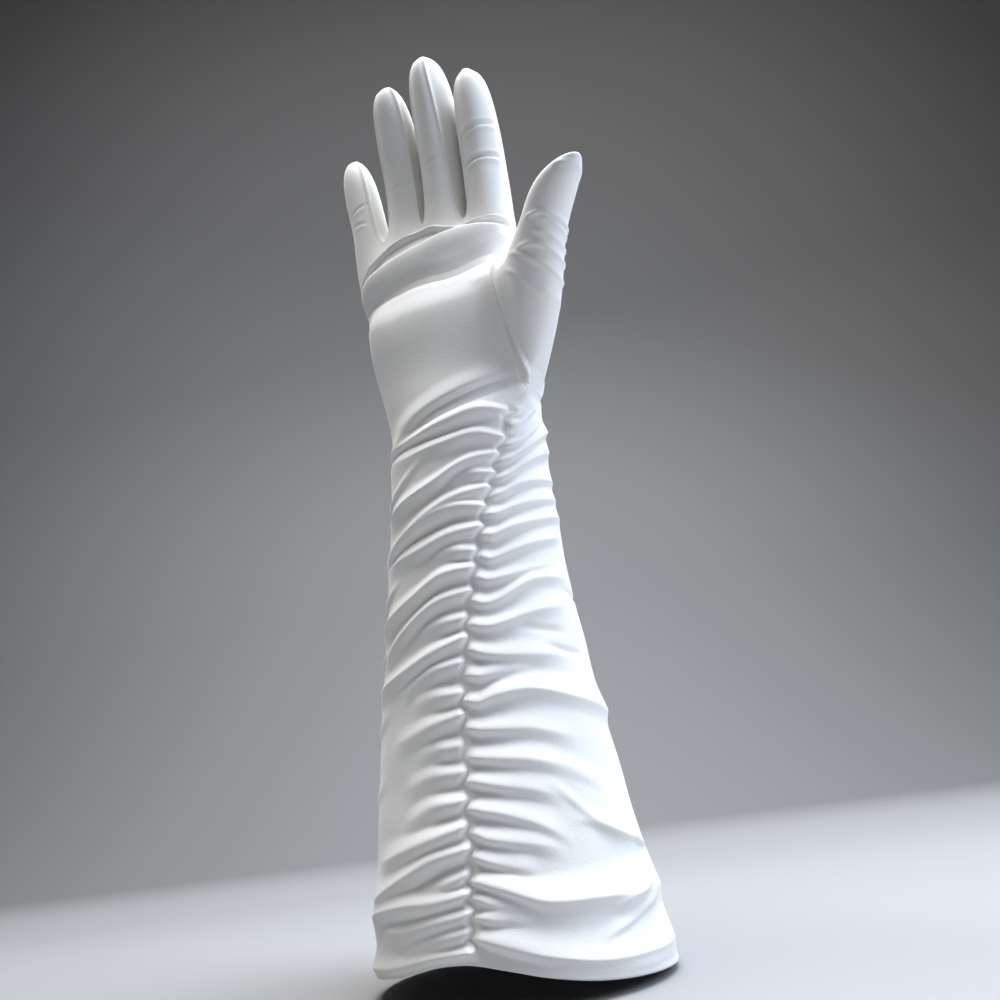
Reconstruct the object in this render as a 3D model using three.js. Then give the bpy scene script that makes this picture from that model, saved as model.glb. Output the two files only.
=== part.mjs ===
// Long ruched dress glove, worn shape, right hand, millimetres.
// X runs across the palm with the thumb at +X, the palm faces -Y, and Z runs up the arm to the fingertips.
// The origin is the middle of the arm opening, in the plane of the hem.
import * as THREE from "three";

// Driving dimensions
const CLOTH = 1.0; // thickness of the knitted cloth
const SEAM_GAP = 0.3; // clearance between two sewn pieces
const WRIST_Z = 181; // height where the sleeve's rows end and the hand begins
const FOLD_OUT = 1.2; // how far a gathered crest stands out of the sleeve
const FOLD_IN = 0.9; // how far the valley beside it sinks
const FOLD_WALL = 1.9; // depth of the sleeve's smooth inside under its mean surface
const SEAM_PINCH = 2.5; // distance from the gathering thread at which a fold has its full height
const RING_LIMIT = 0.984; // radius of the smooth ring that twenty cage points give, as a share of theirs
const FINGER_LIMIT = 0.902; // the same for eight cage points
const THUMB_LIMIT = 0.936; // the same for ten cage points

// Sleeve and palm, from the hem up
// columns: height, middle in X, half width, depth to the palm side, depth to the back, squareness,
// and the fullness that the palm side gains towards the thumb
const SECTIONS = [
  [0, 0, 46.4, 42.5, 42.5, 2, 0],
  [28, -1.2, 43.5, 40, 40, 2, 0],
  [65, -2.5, 39.5, 35.5, 35.5, 2, 0],
  [106, -2.4, 35.1, 31, 31, 2, 0],
  [152, -1.4, 31.9, 27, 27, 2, 0],
  [WRIST_Z, 0.2, 30.9, 24.5, 24.5, 2, 0],
  [190, -0.9, 30.6, 23, 22.5, 2, 1],
  [207, -1.8, 33, 20.5, 19, 2.1, 3],
  [224, -3.2, 34.6, 18.5, 16.5, 2.2, 5],
  [241, -3.8, 35.6, 17, 14.5, 2.3, 5],
  [256, -5.4, 36.6, 15.5, 13, 2.4, 1],
  [270, -6, 39.6, 13, 11.5, 2.6, 0],
];

// Heights of the hand's cage rings between the wrist and the fingers, the first four beside the thumb
const HAND_RINGS = [190, 207, 224, 241, 256, 270];
const THUMB_RINGS = 4;

// Fingers, from the little finger to the index; seam angles are measured from the finger's front line
// columns: name, root x, root z, tip x, tip y, tip z, root half width, tip half width,
// angle of the left seam, angles of the right seam at the root and at the tip
const FINGERS = [
  ["little", -36.6, 287, -43.9, -4, 348.6, 8.7, 8.1, 42, 40, 54],
  ["ring", -15.9, 287, -13.6, -17, 367.2, 9.5, 9.6, 50, 52, 56],
  ["middle", 3.6, 283, 9.2, -18, 370.8, 10.3, 10.6, 40, 44, 12],
  ["index", 23.6, 271, 27.2, -13, 354.0, 9.6, 9.1, 45, 64, 70],
];
const FOURCHETTES = ["fourchette_little_ring", "fourchette_ring_middle", "fourchette_middle_index"];
const GAP_SHARE = 0.93; // where the outer fingers' sides lie, as a share of the palm's half width
const CROTCH_DROP = 4.6; // how far the web between two fingers lies under their root rings
const FINGER_STATIONS = [0.2, 0.44, 0.69, 0.91]; // rings, as shares of the way from root to tip
const FINGER_BEND = 1.7; // power of the fingers' forward curl
const FINGER_STEP = 0.02; // step along a finger over which its direction is taken
const TIP_OVERSHOOT = 3.6; // how far the cage's tip point lies past the smooth tip
const TIP_TAPER = 0.84; // width of a finger's last ring, as a share of the one before it

// Seam that the thumb is set in with, from the wrist up: a front and a back border in the palm's side
// columns: height, front x, front y, back x, back y
const THUMB_SEAM = [
  [190, 34.3, -8, 31.0, 9],
  [207, 33.0, -14.6, 33.5, 7],
  [224, 33.0, -17.8, 34.5, 6],
  [241, 31.6, -17.4, 35.0, 4],
];

// Thumb rings from that seam to the tip
// columns: outer point x, y, z, inner point x, y, z (towards the index finger), half depth front to back
const THUMB = [
  [39.6, -5, 198.5, 34.4, -13.5, 241.8, 13.5],
  [50.0, -12, 212.0, 38.6, -18, 243.0, 12],
  [55.8, -17, 222.6, 42.8, -21.5, 244.8, 10.5],
  [60.4, -22, 234.1, 47.4, -25, 247.2, 9.6],
  [65.8, -26, 242.2, 51.8, -28, 251.7, 8.8],
  [71.0, -29, 248.4, 58.0, -30, 256.5, 7.6],
  [74.9, -31, 253.6, 67.0, -32, 258.5, 5.2],
];
const THUMB_TIP = [77.4, -33.5, 258.6];

// Cross folds of the palm under the fingers: a roll, the hollow below it and the swell below that
// columns: height, how far it stands out, half width
const PALM_FOLDS = [
  [269, 1.8, 6],
  [251, -1.3, 6],
  [232, 3.0, 12],
];
const PALM_FACING = [0.3, 0.8]; // forward share of the normal at which the folds begin and are full
const PALM_FOLD_END = 14; // width before the thumb's seam over which they die out

// The line of the gathering thread on the palm side of the sleeve
// columns: height, angle round the section from +X towards the back
const GATHER = [
  [0, -82],
  [37, -79],
  [78, -76.9],
  [109, -70.4],
  [144, -56.2],
  [170, -40.6],
  [WRIST_Z, -37.5],
];

// Gathered folds, from the wrist down
// columns: height at the thread, reach towards the little finger's side, reach towards the thumb's side
const FOLDS = [
  [176.5, 55, 20],
  [169.0, 50, 22],
  [161.5, 40, 24],
  [154.0, 30, 24],
  [147.8, 38, 28],
  [141.0, 42, 30],
  [134.0, 33, 32],
  [126.5, 25, 27],
  [119.5, 36, 18],
  [111.8, 34, 33],
  [104.2, 22, 30],
  [97.0, 36, 24],
  [89.0, 22, 18],
  [81.0, 18, 55],
  [73.2, 22, 40],
  [65.2, 16, 30],
  [57.6, 20, 26],
  [50.4, 20, 26],
  [44.0, 32, 58],
  [37.6, 45, 20],
  [31.8, 24, 62],
  [27.0, 48, 30],
  [22.4, 34, 16],
  [18.2, 24, 14],
  [13.9, 32, 12],
];
const FOLD_FADE = [0.5, 1.15]; // where a fold begins to fade and is gone, as shares of its reach

// Slant of the folds on each side of the thread, mm of height for each mm away from it
// columns: height, slant towards the little finger's side, slant towards the thumb's side
const SLANTS = [
  [0, 0, 0],
  [30, -0.2, -0.16],
  [60, -0.15, -0.2],
  [90, -0.24, 0.0],
  [120, -0.24, 0.25],
  [150, -0.2, 0.42],
  [WRIST_Z, -0.04, 0.2],
];
const SLANT_ZONE = 34; // height below the wrist over which the rows turn level

// Lift of the hem over the palm side, highest where the thread gathers it
// columns: distance from the thread, minus towards the little finger's side, lift
const HEM_LIFTS = [
  [-80, 0],
  [-55, 3.5],
  [-28, 6.3],
  [-11, 9.4],
  [0, 9.8],
  [11, 7.6],
  [20, 5.4],
  [33, 3.0],
  [47, 1.5],
  [70, 0],
];
const HEM_ZONE = FOLDS.at(-1)[0]; // height, at the thread, over which the lift dies out
const HEM_TOP = 12; // the hem's edge lies below this height, and no seam's clearance is opened along it
const HEM_RISE = 0.7; // the steepest that the hem's edge climbs, as a share of its length

// Value of one column of a table at a height, on a smooth curve through its rows
function column(table, index, z) {
  const last = table.length - 1;
  const slope = (i) => {
    const a = table[Math.max(i - 1, 0)];
    const b = table[Math.min(i + 1, last)];
    return (b[index] - a[index]) / (b[0] - a[0]);
  };
  let i = 0;
  while (i < last - 1 && z > table[i + 1][0]) i += 1;
  const [p, q] = [table[i], table[i + 1]];
  const span = q[0] - p[0];
  const t = THREE.MathUtils.clamp((z - p[0]) / span, 0, 1);
  const t2 = t * t;
  const t3 = t2 * t;
  return (
    (2 * t3 - 3 * t2 + 1) * p[index] +
    (t3 - 2 * t2 + t) * span * slope(i) +
    (3 * t2 - 2 * t3) * q[index] +
    (t3 - t2) * span * slope(i + 1)
  );
}

// Point of the sleeve's or palm's section: across runs -1 to 1, side is -1 on the palm and 1 on the back
function sectionPoint(z, across, side, grow = 1) {
  const middle = column(SECTIONS, 1, z);
  const halfWidth = column(SECTIONS, 2, z) * grow;
  const depth = column(SECTIONS, side < 0 ? 3 : 4, z) * grow;
  const power = column(SECTIONS, 5, z);
  const rise = Math.pow(Math.max(0, 1 - Math.pow(Math.abs(across), power)), 1 / power);
  const fullness = side < 0 ? column(SECTIONS, 6, z) * Math.max(0, across) ** 2 : 0;
  return new THREE.Vector3(middle + halfWidth * across, side * (depth * rise + fullness), z);
}

// Cage of the hand: 20 columns from the little finger's side, over the palm, the thumb's side and the back
const COLUMNS = 20;
const THUMB_COLUMN = 9; // first of the two columns that the thumb's opening takes
const SIDE_COLUMN = 10; // column of the thumb-side seam
const cage = { points: [], faces: [], pieces: [] };

function addPoint(point) {
  return cage.points.push(point) - 1;
}

function addFace(corners, piece) {
  cage.faces.push(corners);
  cage.pieces.push(piece);
}

// Columns of finger k at its root: sides of the fingers are odd columns, their middles even ones
const frontColumn = (k) => 2 * k + 1;
const backColumn = (k) => (2 * COLUMNS - 1 - 2 * k) % COLUMNS;
const fingerX = FINGERS.map((row) => row[1]);
const gapX = [
  fingerX[0] - FINGERS[0][6],
  ...fingerX.slice(1).map((x, i) => (x + fingerX[i]) / 2),
  fingerX[3] + FINGERS[3][6],
];

// Share of the section's half width at which a column lies, even angles at the wrist, fingers at the top
function columnAcross(index, towardFingers) {
  const atWrist = -Math.cos((index * 2 * Math.PI) / COLUMNS);
  const mirrored = index <= SIDE_COLUMN ? index : COLUMNS - index;
  if (mirrored === 0 || mirrored === SIDE_COLUMN) return atWrist;
  const k = (mirrored - 1) >> 1;
  const x = mirrored % 2 ? gapX[k] : fingerX[k];
  const middle = (gapX[0] + gapX[4]) / 2;
  const atFingers = ((x - middle) / ((gapX[4] - gapX[0]) / 2)) * GAP_SHARE;
  return THREE.MathUtils.lerp(atWrist, atFingers, towardFingers);
}

// Rings of the cage from the wrist to below the fingers
const rings = [WRIST_Z, ...HAND_RINGS].map((z) =>
  Array.from({ length: COLUMNS }, (_, index) => {
    const towardFingers = THREE.MathUtils.smoothstep(z, HAND_RINGS[1], HAND_RINGS.at(-1));
    const side = index < SIDE_COLUMN ? -1 : 1;
    return addPoint(sectionPoint(z, columnAcross(index, towardFingers), side, 1 / RING_LIMIT));
  }),
);
const pieceOfColumn = (index) => (index < SIDE_COLUMN ? "palm_panel" : "back_panel");
const next = (index, count) => (index + 1) % count;

// The seam's points stand in for the palm section's own
THUMB_SEAM.forEach(([z, frontX, frontY, backX, backY], i) => {
  cage.points[rings[i + 1][THUMB_COLUMN]].set(frontX, frontY, z);
  cage.points[rings[i + 1][THUMB_COLUMN + 2]].set(backX, backY, z);
});

// Root ring of the fingers, one level of 20 points with the three webs' middles between the fingers
function rootPoint(index) {
  const mirrored = index <= SIDE_COLUMN ? index : COLUMNS - index;
  const side = index < SIDE_COLUMN ? -1 : 1;
  if (mirrored === 0 || mirrored === SIDE_COLUMN) {
    const [, x, z, , , , width] = FINGERS[mirrored ? 3 : 0];
    const outward = (mirrored ? 1 : -1) * (width / FINGER_LIMIT);
    return new THREE.Vector3(x + outward, 0, z);
  }
  const k = (mirrored - 1) >> 1;
  if (mirrored % 2 === 0) {
    const [, x, z, , , , width] = FINGERS[k];
    return new THREE.Vector3(x, (side * width) / FINGER_LIMIT, z);
  }
  const left = FINGERS[Math.max(k - 1, 0)];
  const right = FINGERS[Math.min(k, 3)];
  const depth = ((left[6] + right[6]) / 2) * Math.SQRT1_2;
  return new THREE.Vector3(gapX[k], (side * depth) / FINGER_LIMIT, (left[2] + right[2]) / 2);
}
const root = Array.from({ length: COLUMNS }, (_, index) => addPoint(rootPoint(index)));
const webs = [1, 2, 3].map((k) =>
  addPoint(new THREE.Vector3(gapX[k], 0, (FINGERS[k - 1][2] + FINGERS[k][2]) / 2 - CROTCH_DROP)),
);
rings.push(root);

// Faces of the hand, apart from the thumb's opening
for (let i = 0; i + 1 < rings.length; i += 1) {
  for (let j = 0; j < COLUMNS; j += 1) {
    const besideThumb = i >= 1 && i < THUMB_RINGS;
    if (besideThumb && (j === THUMB_COLUMN || j === THUMB_COLUMN + 1)) continue;
    const k = next(j, COLUMNS);
    addFace([rings[i][j], rings[i][k], rings[i + 1][k], rings[i + 1][j]], pieceOfColumn(j));
  }
}

// A ring of points round a middle, at angles in degrees from the first axis towards the second
function ringPoints(middle, first, second, halfFirst, halfSecond, angles) {
  return angles.map((angle) => {
    const turn = THREE.MathUtils.degToRad(angle);
    const point = middle.clone();
    point.addScaledVector(first, halfFirst * Math.cos(turn));
    point.addScaledVector(second, halfSecond * Math.sin(turn));
    return addPoint(point);
  });
}

// Faces between two rings, with one piece name for each column
function joinRings(lower, upper, names) {
  lower.forEach((_, m) => {
    const n = next(m, lower.length);
    addFace([lower[m], lower[n], upper[n], upper[m]], names[m]);
  });
}

// Faces from a ring to the point at the tip
function closeTip(ring, tip, names) {
  ring.forEach((_, m) => addFace([ring[m], ring[next(m, ring.length)], tip], names[m]));
}

// One finger, standing on its eight root points
function addFinger(k) {
  const [, x, z, tipX, tipY, tipZ, rootWidth, tipWidth, left, right, tipRight] = FINGERS[k];
  const leftWeb = k === 0 ? root[0] : webs[k - 1];
  const rightWeb = k === 3 ? root[SIDE_COLUMN] : webs[k];
  const leftName = k === 0 ? null : FOURCHETTES[k - 1];
  const rightName = k === 3 ? null : FOURCHETTES[k];
  const names = [
    leftName ?? "palm_panel",
    "palm_panel",
    "palm_panel",
    rightName ?? "palm_panel",
    rightName ?? "back_panel",
    "back_panel",
    "back_panel",
    leftName ?? "back_panel",
  ];
  const place = (t) =>
    new THREE.Vector3(
      THREE.MathUtils.lerp(x, tipX, t),
      tipY * Math.pow(t, FINGER_BEND),
      THREE.MathUtils.lerp(z, tipZ, t),
    );
  const direction = (t) => place(t + FINGER_STEP).sub(place(t - FINGER_STEP)).normalize();
  let lower = [
    leftWeb,
    root[frontColumn(k)],
    root[2 * k + 2],
    root[frontColumn(k + 1)],
    rightWeb,
    root[backColumn(k + 1)],
    root[COLUMNS - 2 * k - 2],
    root[backColumn(k)],
  ];
  FINGER_STATIONS.forEach((t, i) => {
    const middle = place(t);
    const along = direction(t);
    const across = new THREE.Vector3(1, 0, 0).addScaledVector(along, -along.x).normalize();
    const back = new THREE.Vector3().crossVectors(along, across);
    const isLast = i === FINGER_STATIONS.length - 1;
    const taper = isLast ? TIP_TAPER : 1;
    const half = (THREE.MathUtils.lerp(rootWidth, tipWidth, t) * taper) / FINGER_LIMIT;
    const seam = THREE.MathUtils.lerp(right, tipRight, t);
    const angles = [180, -90 - left, -90 + (seam - left) / 2, -90 + seam, 0, 45, 90, 135];
    const upper = ringPoints(middle, across, back, half, half, angles);
    joinRings(lower, upper, names);
    lower = upper;
  });
  closeTip(lower, addPoint(place(1).addScaledVector(direction(1), TIP_OVERSHOOT)), names);
}
FINGERS.forEach((_, k) => addFinger(k));

// The thumb, standing on the ten points round its opening in the palm's side
function addThumb() {
  const [front, side, back] = [THUMB_COLUMN, THUMB_COLUMN + 1, THUMB_COLUMN + 2];
  let lower = [
    rings[4][front],
    rings[3][front],
    rings[2][front],
    rings[1][front],
    rings[1][side],
    rings[1][back],
    rings[2][back],
    rings[3][back],
    rings[4][back],
    rings[4][side],
  ];
  const names = lower.map(() => "thumb");
  const angles = [54, 18, -18, -54, -90, -126, -162, 162, 126, 90];
  THUMB.forEach(([outerX, outerY, outerZ, innerX, innerY, innerZ, halfDepth]) => {
    const outer = new THREE.Vector3(outerX, outerY, outerZ);
    const inner = new THREE.Vector3(innerX, innerY, innerZ);
    const middle = outer.clone().add(inner).multiplyScalar(0.5);
    const inward = inner.clone().sub(outer).normalize();
    const palmward = new THREE.Vector3(0, -1, 0).addScaledVector(inward, inward.y).normalize();
    const halfSpan = inner.distanceTo(outer) / 2;
    const upper = ringPoints(
      middle,
      palmward,
      inward,
      halfDepth / THUMB_LIMIT,
      halfSpan / THUMB_LIMIT,
      angles,
    );
    joinRings(lower, upper, names);
    lower = upper;
  });
  const tip = new THREE.Vector3(...THUMB_TIP);
  closeTip(lower, addPoint(tip), names);
}
addThumb();

// Neighbours of each vertex and faces of each edge
function edgesOf(faces) {
  const edges = new Map();
  faces.forEach((face, f) => {
    face.forEach((a, i) => {
      const b = face[(i + 1) % face.length];
      const key = a < b ? `${a},${b}` : `${b},${a}`;
      if (!edges.has(key)) edges.set(key, { ends: [a, b], faces: [] });
      edges.get(key).faces.push(f);
    });
  });
  return edges;
}

function average(points) {
  const sum = new THREE.Vector3();
  points.forEach((p) => sum.add(p));
  return sum.divideScalar(points.length);
}

// One round of smooth subdivision, each face cut into quads; the open border becomes a smooth curve
function refine({ points, faces, pieces }) {
  const facePoints = faces.map((face) => average(face.map((v) => points[v])));
  const edges = edgesOf(faces);
  const touching = points.map(() => ({ faces: [], middles: [], border: [] }));
  faces.forEach((face, f) => face.forEach((v) => touching[v].faces.push(facePoints[f])));
  const edgeIndex = new Map();
  const made = [];
  for (const [key, edge] of edges) {
    const [a, b] = edge.ends;
    const middle = points[a].clone().add(points[b]).multiplyScalar(0.5);
    const isBorder = edge.faces.length === 1;
    touching[a].middles.push(middle);
    touching[b].middles.push(middle);
    if (isBorder) {
      touching[a].border.push(points[b]);
      touching[b].border.push(points[a]);
    }
    const ends = [points[a], points[b], ...edge.faces.map((f) => facePoints[f])];
    edgeIndex.set(key, points.length + made.length);
    made.push(isBorder ? middle : average(ends));
  }
  const moved = points.map((p, v) => {
    const near = touching[v];
    const n = near.faces.length;
    if (near.border.length === 2) {
      return p.clone().multiplyScalar(6).add(near.border[0]).add(near.border[1]).divideScalar(8);
    }
    return average(near.faces)
      .addScaledVector(average(near.middles), 2)
      .addScaledVector(p, n - 3)
      .divideScalar(n);
  });
  const firstFacePoint = points.length + made.length;
  const result = { points: [...moved, ...made, ...facePoints], faces: [], pieces: [] };
  const edgePoint = (a, b) => edgeIndex.get(a < b ? `${a},${b}` : `${b},${a}`);
  faces.forEach((face, f) => {
    face.forEach((v, i) => {
      const after = face[(i + 1) % face.length];
      const before = face[(i + face.length - 1) % face.length];
      result.faces.push([v, edgePoint(v, after), firstFacePoint + f, edgePoint(before, v)]);
      result.pieces.push(pieces[f]);
    });
  });
  result.edgePoint = edgePoint;
  return result;
}

// Where each vertex of a quad mesh lies on the smooth surface
function limitPoints({ points, faces }) {
  const sums = points.map(() => ({ n: 0, edge: new THREE.Vector3(), far: new THREE.Vector3() }));
  const borders = points.map(() => []);
  for (const { ends, faces: beside } of edgesOf(faces).values()) {
    const [a, b] = ends;
    sums[a].edge.add(points[b]);
    sums[b].edge.add(points[a]);
    if (beside.length === 1) {
      borders[a].push(points[b]);
      borders[b].push(points[a]);
    }
  }
  faces.forEach((face) => {
    face.forEach((v, i) => {
      sums[v].n += 1;
      sums[v].far.add(points[face[(i + 2) % face.length]]);
    });
  });
  return points.map((p, v) => {
    const { n, edge, far } = sums[v];
    if (borders[v].length === 2) {
      return p.clone().multiplyScalar(4).add(borders[v][0]).add(borders[v][1]).divideScalar(6);
    }
    return p
      .clone()
      .multiplyScalar(n * n)
      .addScaledVector(edge, 4)
      .add(far)
      .divideScalar(n * (n + 5));
  });
}

// Hand surface: outside, and inside by the cloth's thickness
const hand = refine(cage);
const handMean = limitPoints(hand);

function vertexNormals(points, faces) {
  const normals = points.map(() => new THREE.Vector3());
  faces.forEach(([a, b, c, d]) => {
    const normal = points[c].clone().sub(points[a]);
    normal.cross(points[d].clone().sub(points[b]));
    [a, b, c, d].forEach((v) => normals[v].add(normal));
  });
  return normals.map((n) => n.normalize());
}

// Height of the palm's cross folds at a point, full where the palm faces forward
function palmFoldHeight(point, normal) {
  const facing = THREE.MathUtils.smoothstep(-normal.y, ...PALM_FACING);
  const seamX = THUMB_SEAM.at(-1)[1];
  const beforeThumb = 1 - THREE.MathUtils.smoothstep(point.x, seamX - PALM_FOLD_END, seamX);
  const fold = ([z, height, halfWidth]) => height * Math.exp(-(((point.z - z) / halfWidth) ** 2));
  return facing * beforeThumb * PALM_FOLDS.reduce((total, row) => total + fold(row), 0);
}
const meanNormals = vertexNormals(handMean, hand.faces);
const handOutside = handMean.map((p, v) => {
  return p.clone().addScaledVector(meanNormals[v], palmFoldHeight(p, meanNormals[v]));
});
const handNormals = vertexNormals(handOutside, hand.faces);
const handInside = handOutside.map((p, v) => p.clone().addScaledVector(handNormals[v], -CLOTH));

// The hand's open border at the wrist, in the order of the sleeve's columns
const SLEEVE_COLUMNS = 2 * COLUMNS;
const wristBorder = Array.from({ length: SLEEVE_COLUMNS }, (_, j) => {
  const index = j >> 1;
  return j % 2 ? hand.edgePoint(rings[0][index], rings[0][next(index, COLUMNS)]) : rings[0][index];
});

// Angle round the section of one sleeve column: even at the wrist, drawn to the gathering thread below it
const THREAD_COLUMN = 15;
const FRONT_COLUMNS = SLEEVE_COLUMNS / 2;
const DRAWN_OVER = 10; // height below the wrist over which the columns turn to the thread
const [LEFT_CROWDING, RIGHT_CROWDING] = [1.2, 1.5]; // powers by which the columns crowd to the thread
function columnAngle(j, z) {
  const even = -180 + (360 * j) / SLEEVE_COLUMNS;
  if (j > FRONT_COLUMNS) return even;
  const thread = column(GATHER, 1, z);
  const onLeft = j <= THREAD_COLUMN;
  const left = 1 - Math.pow(Math.max(0, 1 - j / THREAD_COLUMN), LEFT_CROWDING);
  const beyond = Math.max(0, j - THREAD_COLUMN) / (FRONT_COLUMNS - THREAD_COLUMN);
  const right = Math.pow(beyond, RIGHT_CROWDING);
  const drawn = onLeft ? -180 + (thread + 180) * left : THREE.MathUtils.lerp(thread, 0, right);
  const share = THREE.MathUtils.smoothstep(WRIST_Z - z, 0, DRAWN_OVER);
  return THREE.MathUtils.lerp(even, drawn, share);
}

// Rows of the sleeve at the thread: hem, roll, then a crest and a valley for each fold
const HEM_ROWS = [0, 3.5, 8];
const crests = FOLDS.toReversed();
const sleeveRows = HEM_ROWS.map((z) => ({ z, fold: null, sign: 0 }));
crests.forEach(([z, left, right], i) => {
  if (i > 0) {
    const [lowerZ, lowerLeft, lowerRight] = crests[i - 1];
    const reach = [(left + lowerLeft) / 2, (right + lowerRight) / 2];
    sleeveRows.push({ z: (z + lowerZ) / 2, fold: reach, sign: -1 });
  }
  sleeveRows.push({ z, fold: [left, right], sign: 1 });
});

// Height of a fold at a distance from the thread: none at the stitches, full beside them, fading at its reach
function foldHeight(row, distance) {
  if (!row.fold) return 0;
  const onThumbSide = distance > 0;
  const reach = row.fold[onThumbSide ? 1 : 0];
  const away = Math.abs(distance);
  const rise = THREE.MathUtils.smoothstep(away, 0, SEAM_PINCH);
  const [fadeStart, fadeEnd] = FOLD_FADE.map((share) => share * reach);
  const fade = 1 - THREE.MathUtils.smoothstep(away, fadeStart, fadeEnd);
  const isCrest = row.sign * (onThumbSide ? -1 : 1) > 0;
  return rise * fade * (isCrest ? FOLD_OUT : -FOLD_IN);
}

// One point of the sleeve: a row's height at the thread, a column, and the height out of the mean surface
function sleevePoint(rowZ, j, outward) {
  const angle = THREE.MathUtils.degToRad(columnAngle(j, rowZ));
  const thread = THREE.MathUtils.degToRad(column(GATHER, 1, rowZ));
  const turn = angle - thread;
  const radius = (column(SECTIONS, 2, rowZ) + column(SECTIONS, 3, rowZ)) / 2;
  const distance = turn * radius;
  const level = THREE.MathUtils.clamp((WRIST_Z - rowZ) / SLANT_ZONE, 0, 1);
  const slant = level * column(SLANTS, turn < 0 ? 1 : 2, rowZ);
  const nearHem = 1 - THREE.MathUtils.clamp(rowZ / HEM_ZONE, 0, 1);
  const z = rowZ + slant * radius * Math.abs(Math.sin(turn)) + nearHem * column(HEM_LIFTS, 1, distance);
  const point = sectionPoint(z, Math.cos(angle), Math.sin(angle) < 0 ? -1 : 1);
  const normal = new THREE.Vector3(
    Math.cos(angle) / column(SECTIONS, 2, z),
    Math.sin(angle) / column(SECTIONS, 3, z),
    0,
  ).normalize();
  return point.addScaledVector(normal, outward(distance));
}

// Rows of the sleeve, from the hem to the hand's open border
function addSleeve(points, faces, pieces, rows, outward) {
  let lower = null;
  rows.forEach((row) => {
    const upper = Array.from({ length: SLEEVE_COLUMNS }, (_, j) => {
      return points.push(sleevePoint(row.z, j, (distance) => outward(row, distance))) - 1;
    });
    if (lower) addSleeveRow(faces, pieces, lower, upper);
    lower = upper;
  });
  addSleeveRow(faces, pieces, lower, wristBorder);
}

// Faces between two rows of the sleeve
function addSleeveRow(faces, pieces, lower, upper) {
  lower.forEach((_, j) => {
    const k = next(j, SLEEVE_COLUMNS);
    faces.push([lower[j], lower[k], upper[k], upper[j]]);
    pieces.push(j < FRONT_COLUMNS ? "palm_panel" : "back_panel");
  });
}

// Hand and sleeve as one quad mesh each for the outside and the inside
const INSIDE_ROWS = [0, 18, 36, 54, 72, 90, 108, 126, 144, 162];
const FOLD_WALL_TOP = 160; // height above which the inside comes out to the plain cloth's thickness
const outside = { points: handOutside, faces: [...hand.faces], pieces: [...hand.pieces] };
const inside = { points: handInside, faces: [...hand.faces], pieces: [...hand.pieces] };
addSleeve(outside.points, outside.faces, outside.pieces, sleeveRows, foldHeight);
const insideRows = INSIDE_ROWS.map((z) => ({ z }));
const plainShare = (z) => THREE.MathUtils.smoothstep(z, FOLD_WALL_TOP, WRIST_Z);
const insideDepth = (z) => THREE.MathUtils.lerp(FOLD_WALL, CLOTH, plainShare(z));
addSleeve(inside.points, inside.faces, inside.pieces, insideRows, (row) => -insideDepth(row.z));

// The faces of one piece on one side, with their border in walking order, drawn in by half the gap
const MOST_STRETCH = 2.2; // the most that a border's sharp corner is drawn in, as a share of half the gap
function patchOf(mesh, piece) {
  const faces = mesh.faces.filter((_, f) => mesh.pieces[f] === piece);
  const after = new Map();
  const inward = new Map();
  for (const { ends, faces: beside } of edgesOf(faces).values()) {
    if (beside.length !== 1) continue;
    const face = faces[beside[0]];
    const inOrder = face[(face.indexOf(ends[0]) + 1) % face.length] === ends[1];
    const [a, b] = inOrder ? ends : ends.toReversed();
    after.set(a, b);
    const along = mesh.points[b].clone().sub(mesh.points[a]).normalize();
    const [p, q, r, s] = face.map((v) => mesh.points[v]);
    const normal = r.clone().sub(p).cross(s.clone().sub(q)).normalize();
    const isLow = Math.max(mesh.points[a].z, mesh.points[b].z) < HEM_TOP;
    const isHem = isLow && Math.abs(along.z) < HEM_RISE;
    const push = isHem ? new THREE.Vector3() : normal.cross(along).normalize();
    [a, b].forEach((v) => inward.set(v, [...(inward.get(v) ?? []), push]));
  }
  const start = after.keys().next().value;
  const border = [start];
  for (let v = after.get(start); v !== start; v = after.get(v)) border.push(v);
  const points = new Map();
  faces.flat().forEach((v) => points.set(v, mesh.points[v]));
  border.forEach((v) => {
    const pushes = inward.get(v).filter((push) => push.lengthSq() > 0);
    if (!pushes.length) return;
    const sum = pushes.reduce((total, push) => total.clone().add(push), new THREE.Vector3());
    const stretch = Math.min(pushes.length / sum.length(), MOST_STRETCH);
    const moved = mesh.points[v].clone();
    points.set(v, moved.addScaledVector(sum.normalize(), (SEAM_GAP / 2) * stretch));
  });
  return { faces, border, points };
}

// A piece of cloth: its outside faces, its inside faces turned round, and the rim between their borders
function clothGeometry(piece) {
  const outer = patchOf(outside, piece);
  const inner = patchOf(inside, piece);
  const triangles = [];
  const addTriangle = (...corners) => triangles.push(...corners.flatMap((p) => p.toArray()));
  outer.faces.forEach((face) => {
    const [a, b, c, d] = face.map((v) => outer.points.get(v));
    addTriangle(a, b, c);
    addTriangle(a, c, d);
  });
  inner.faces.forEach((face) => {
    const [a, b, c, d] = face.map((v) => inner.points.get(v));
    addTriangle(a, c, b);
    addTriangle(a, d, c);
  });
  addRim(outer, inner, addTriangle);
  const geometry = new THREE.BufferGeometry();
  geometry.setAttribute("position", new THREE.Float32BufferAttribute(triangles, 3));
  geometry.computeVertexNormals();
  return geometry;
}

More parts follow.
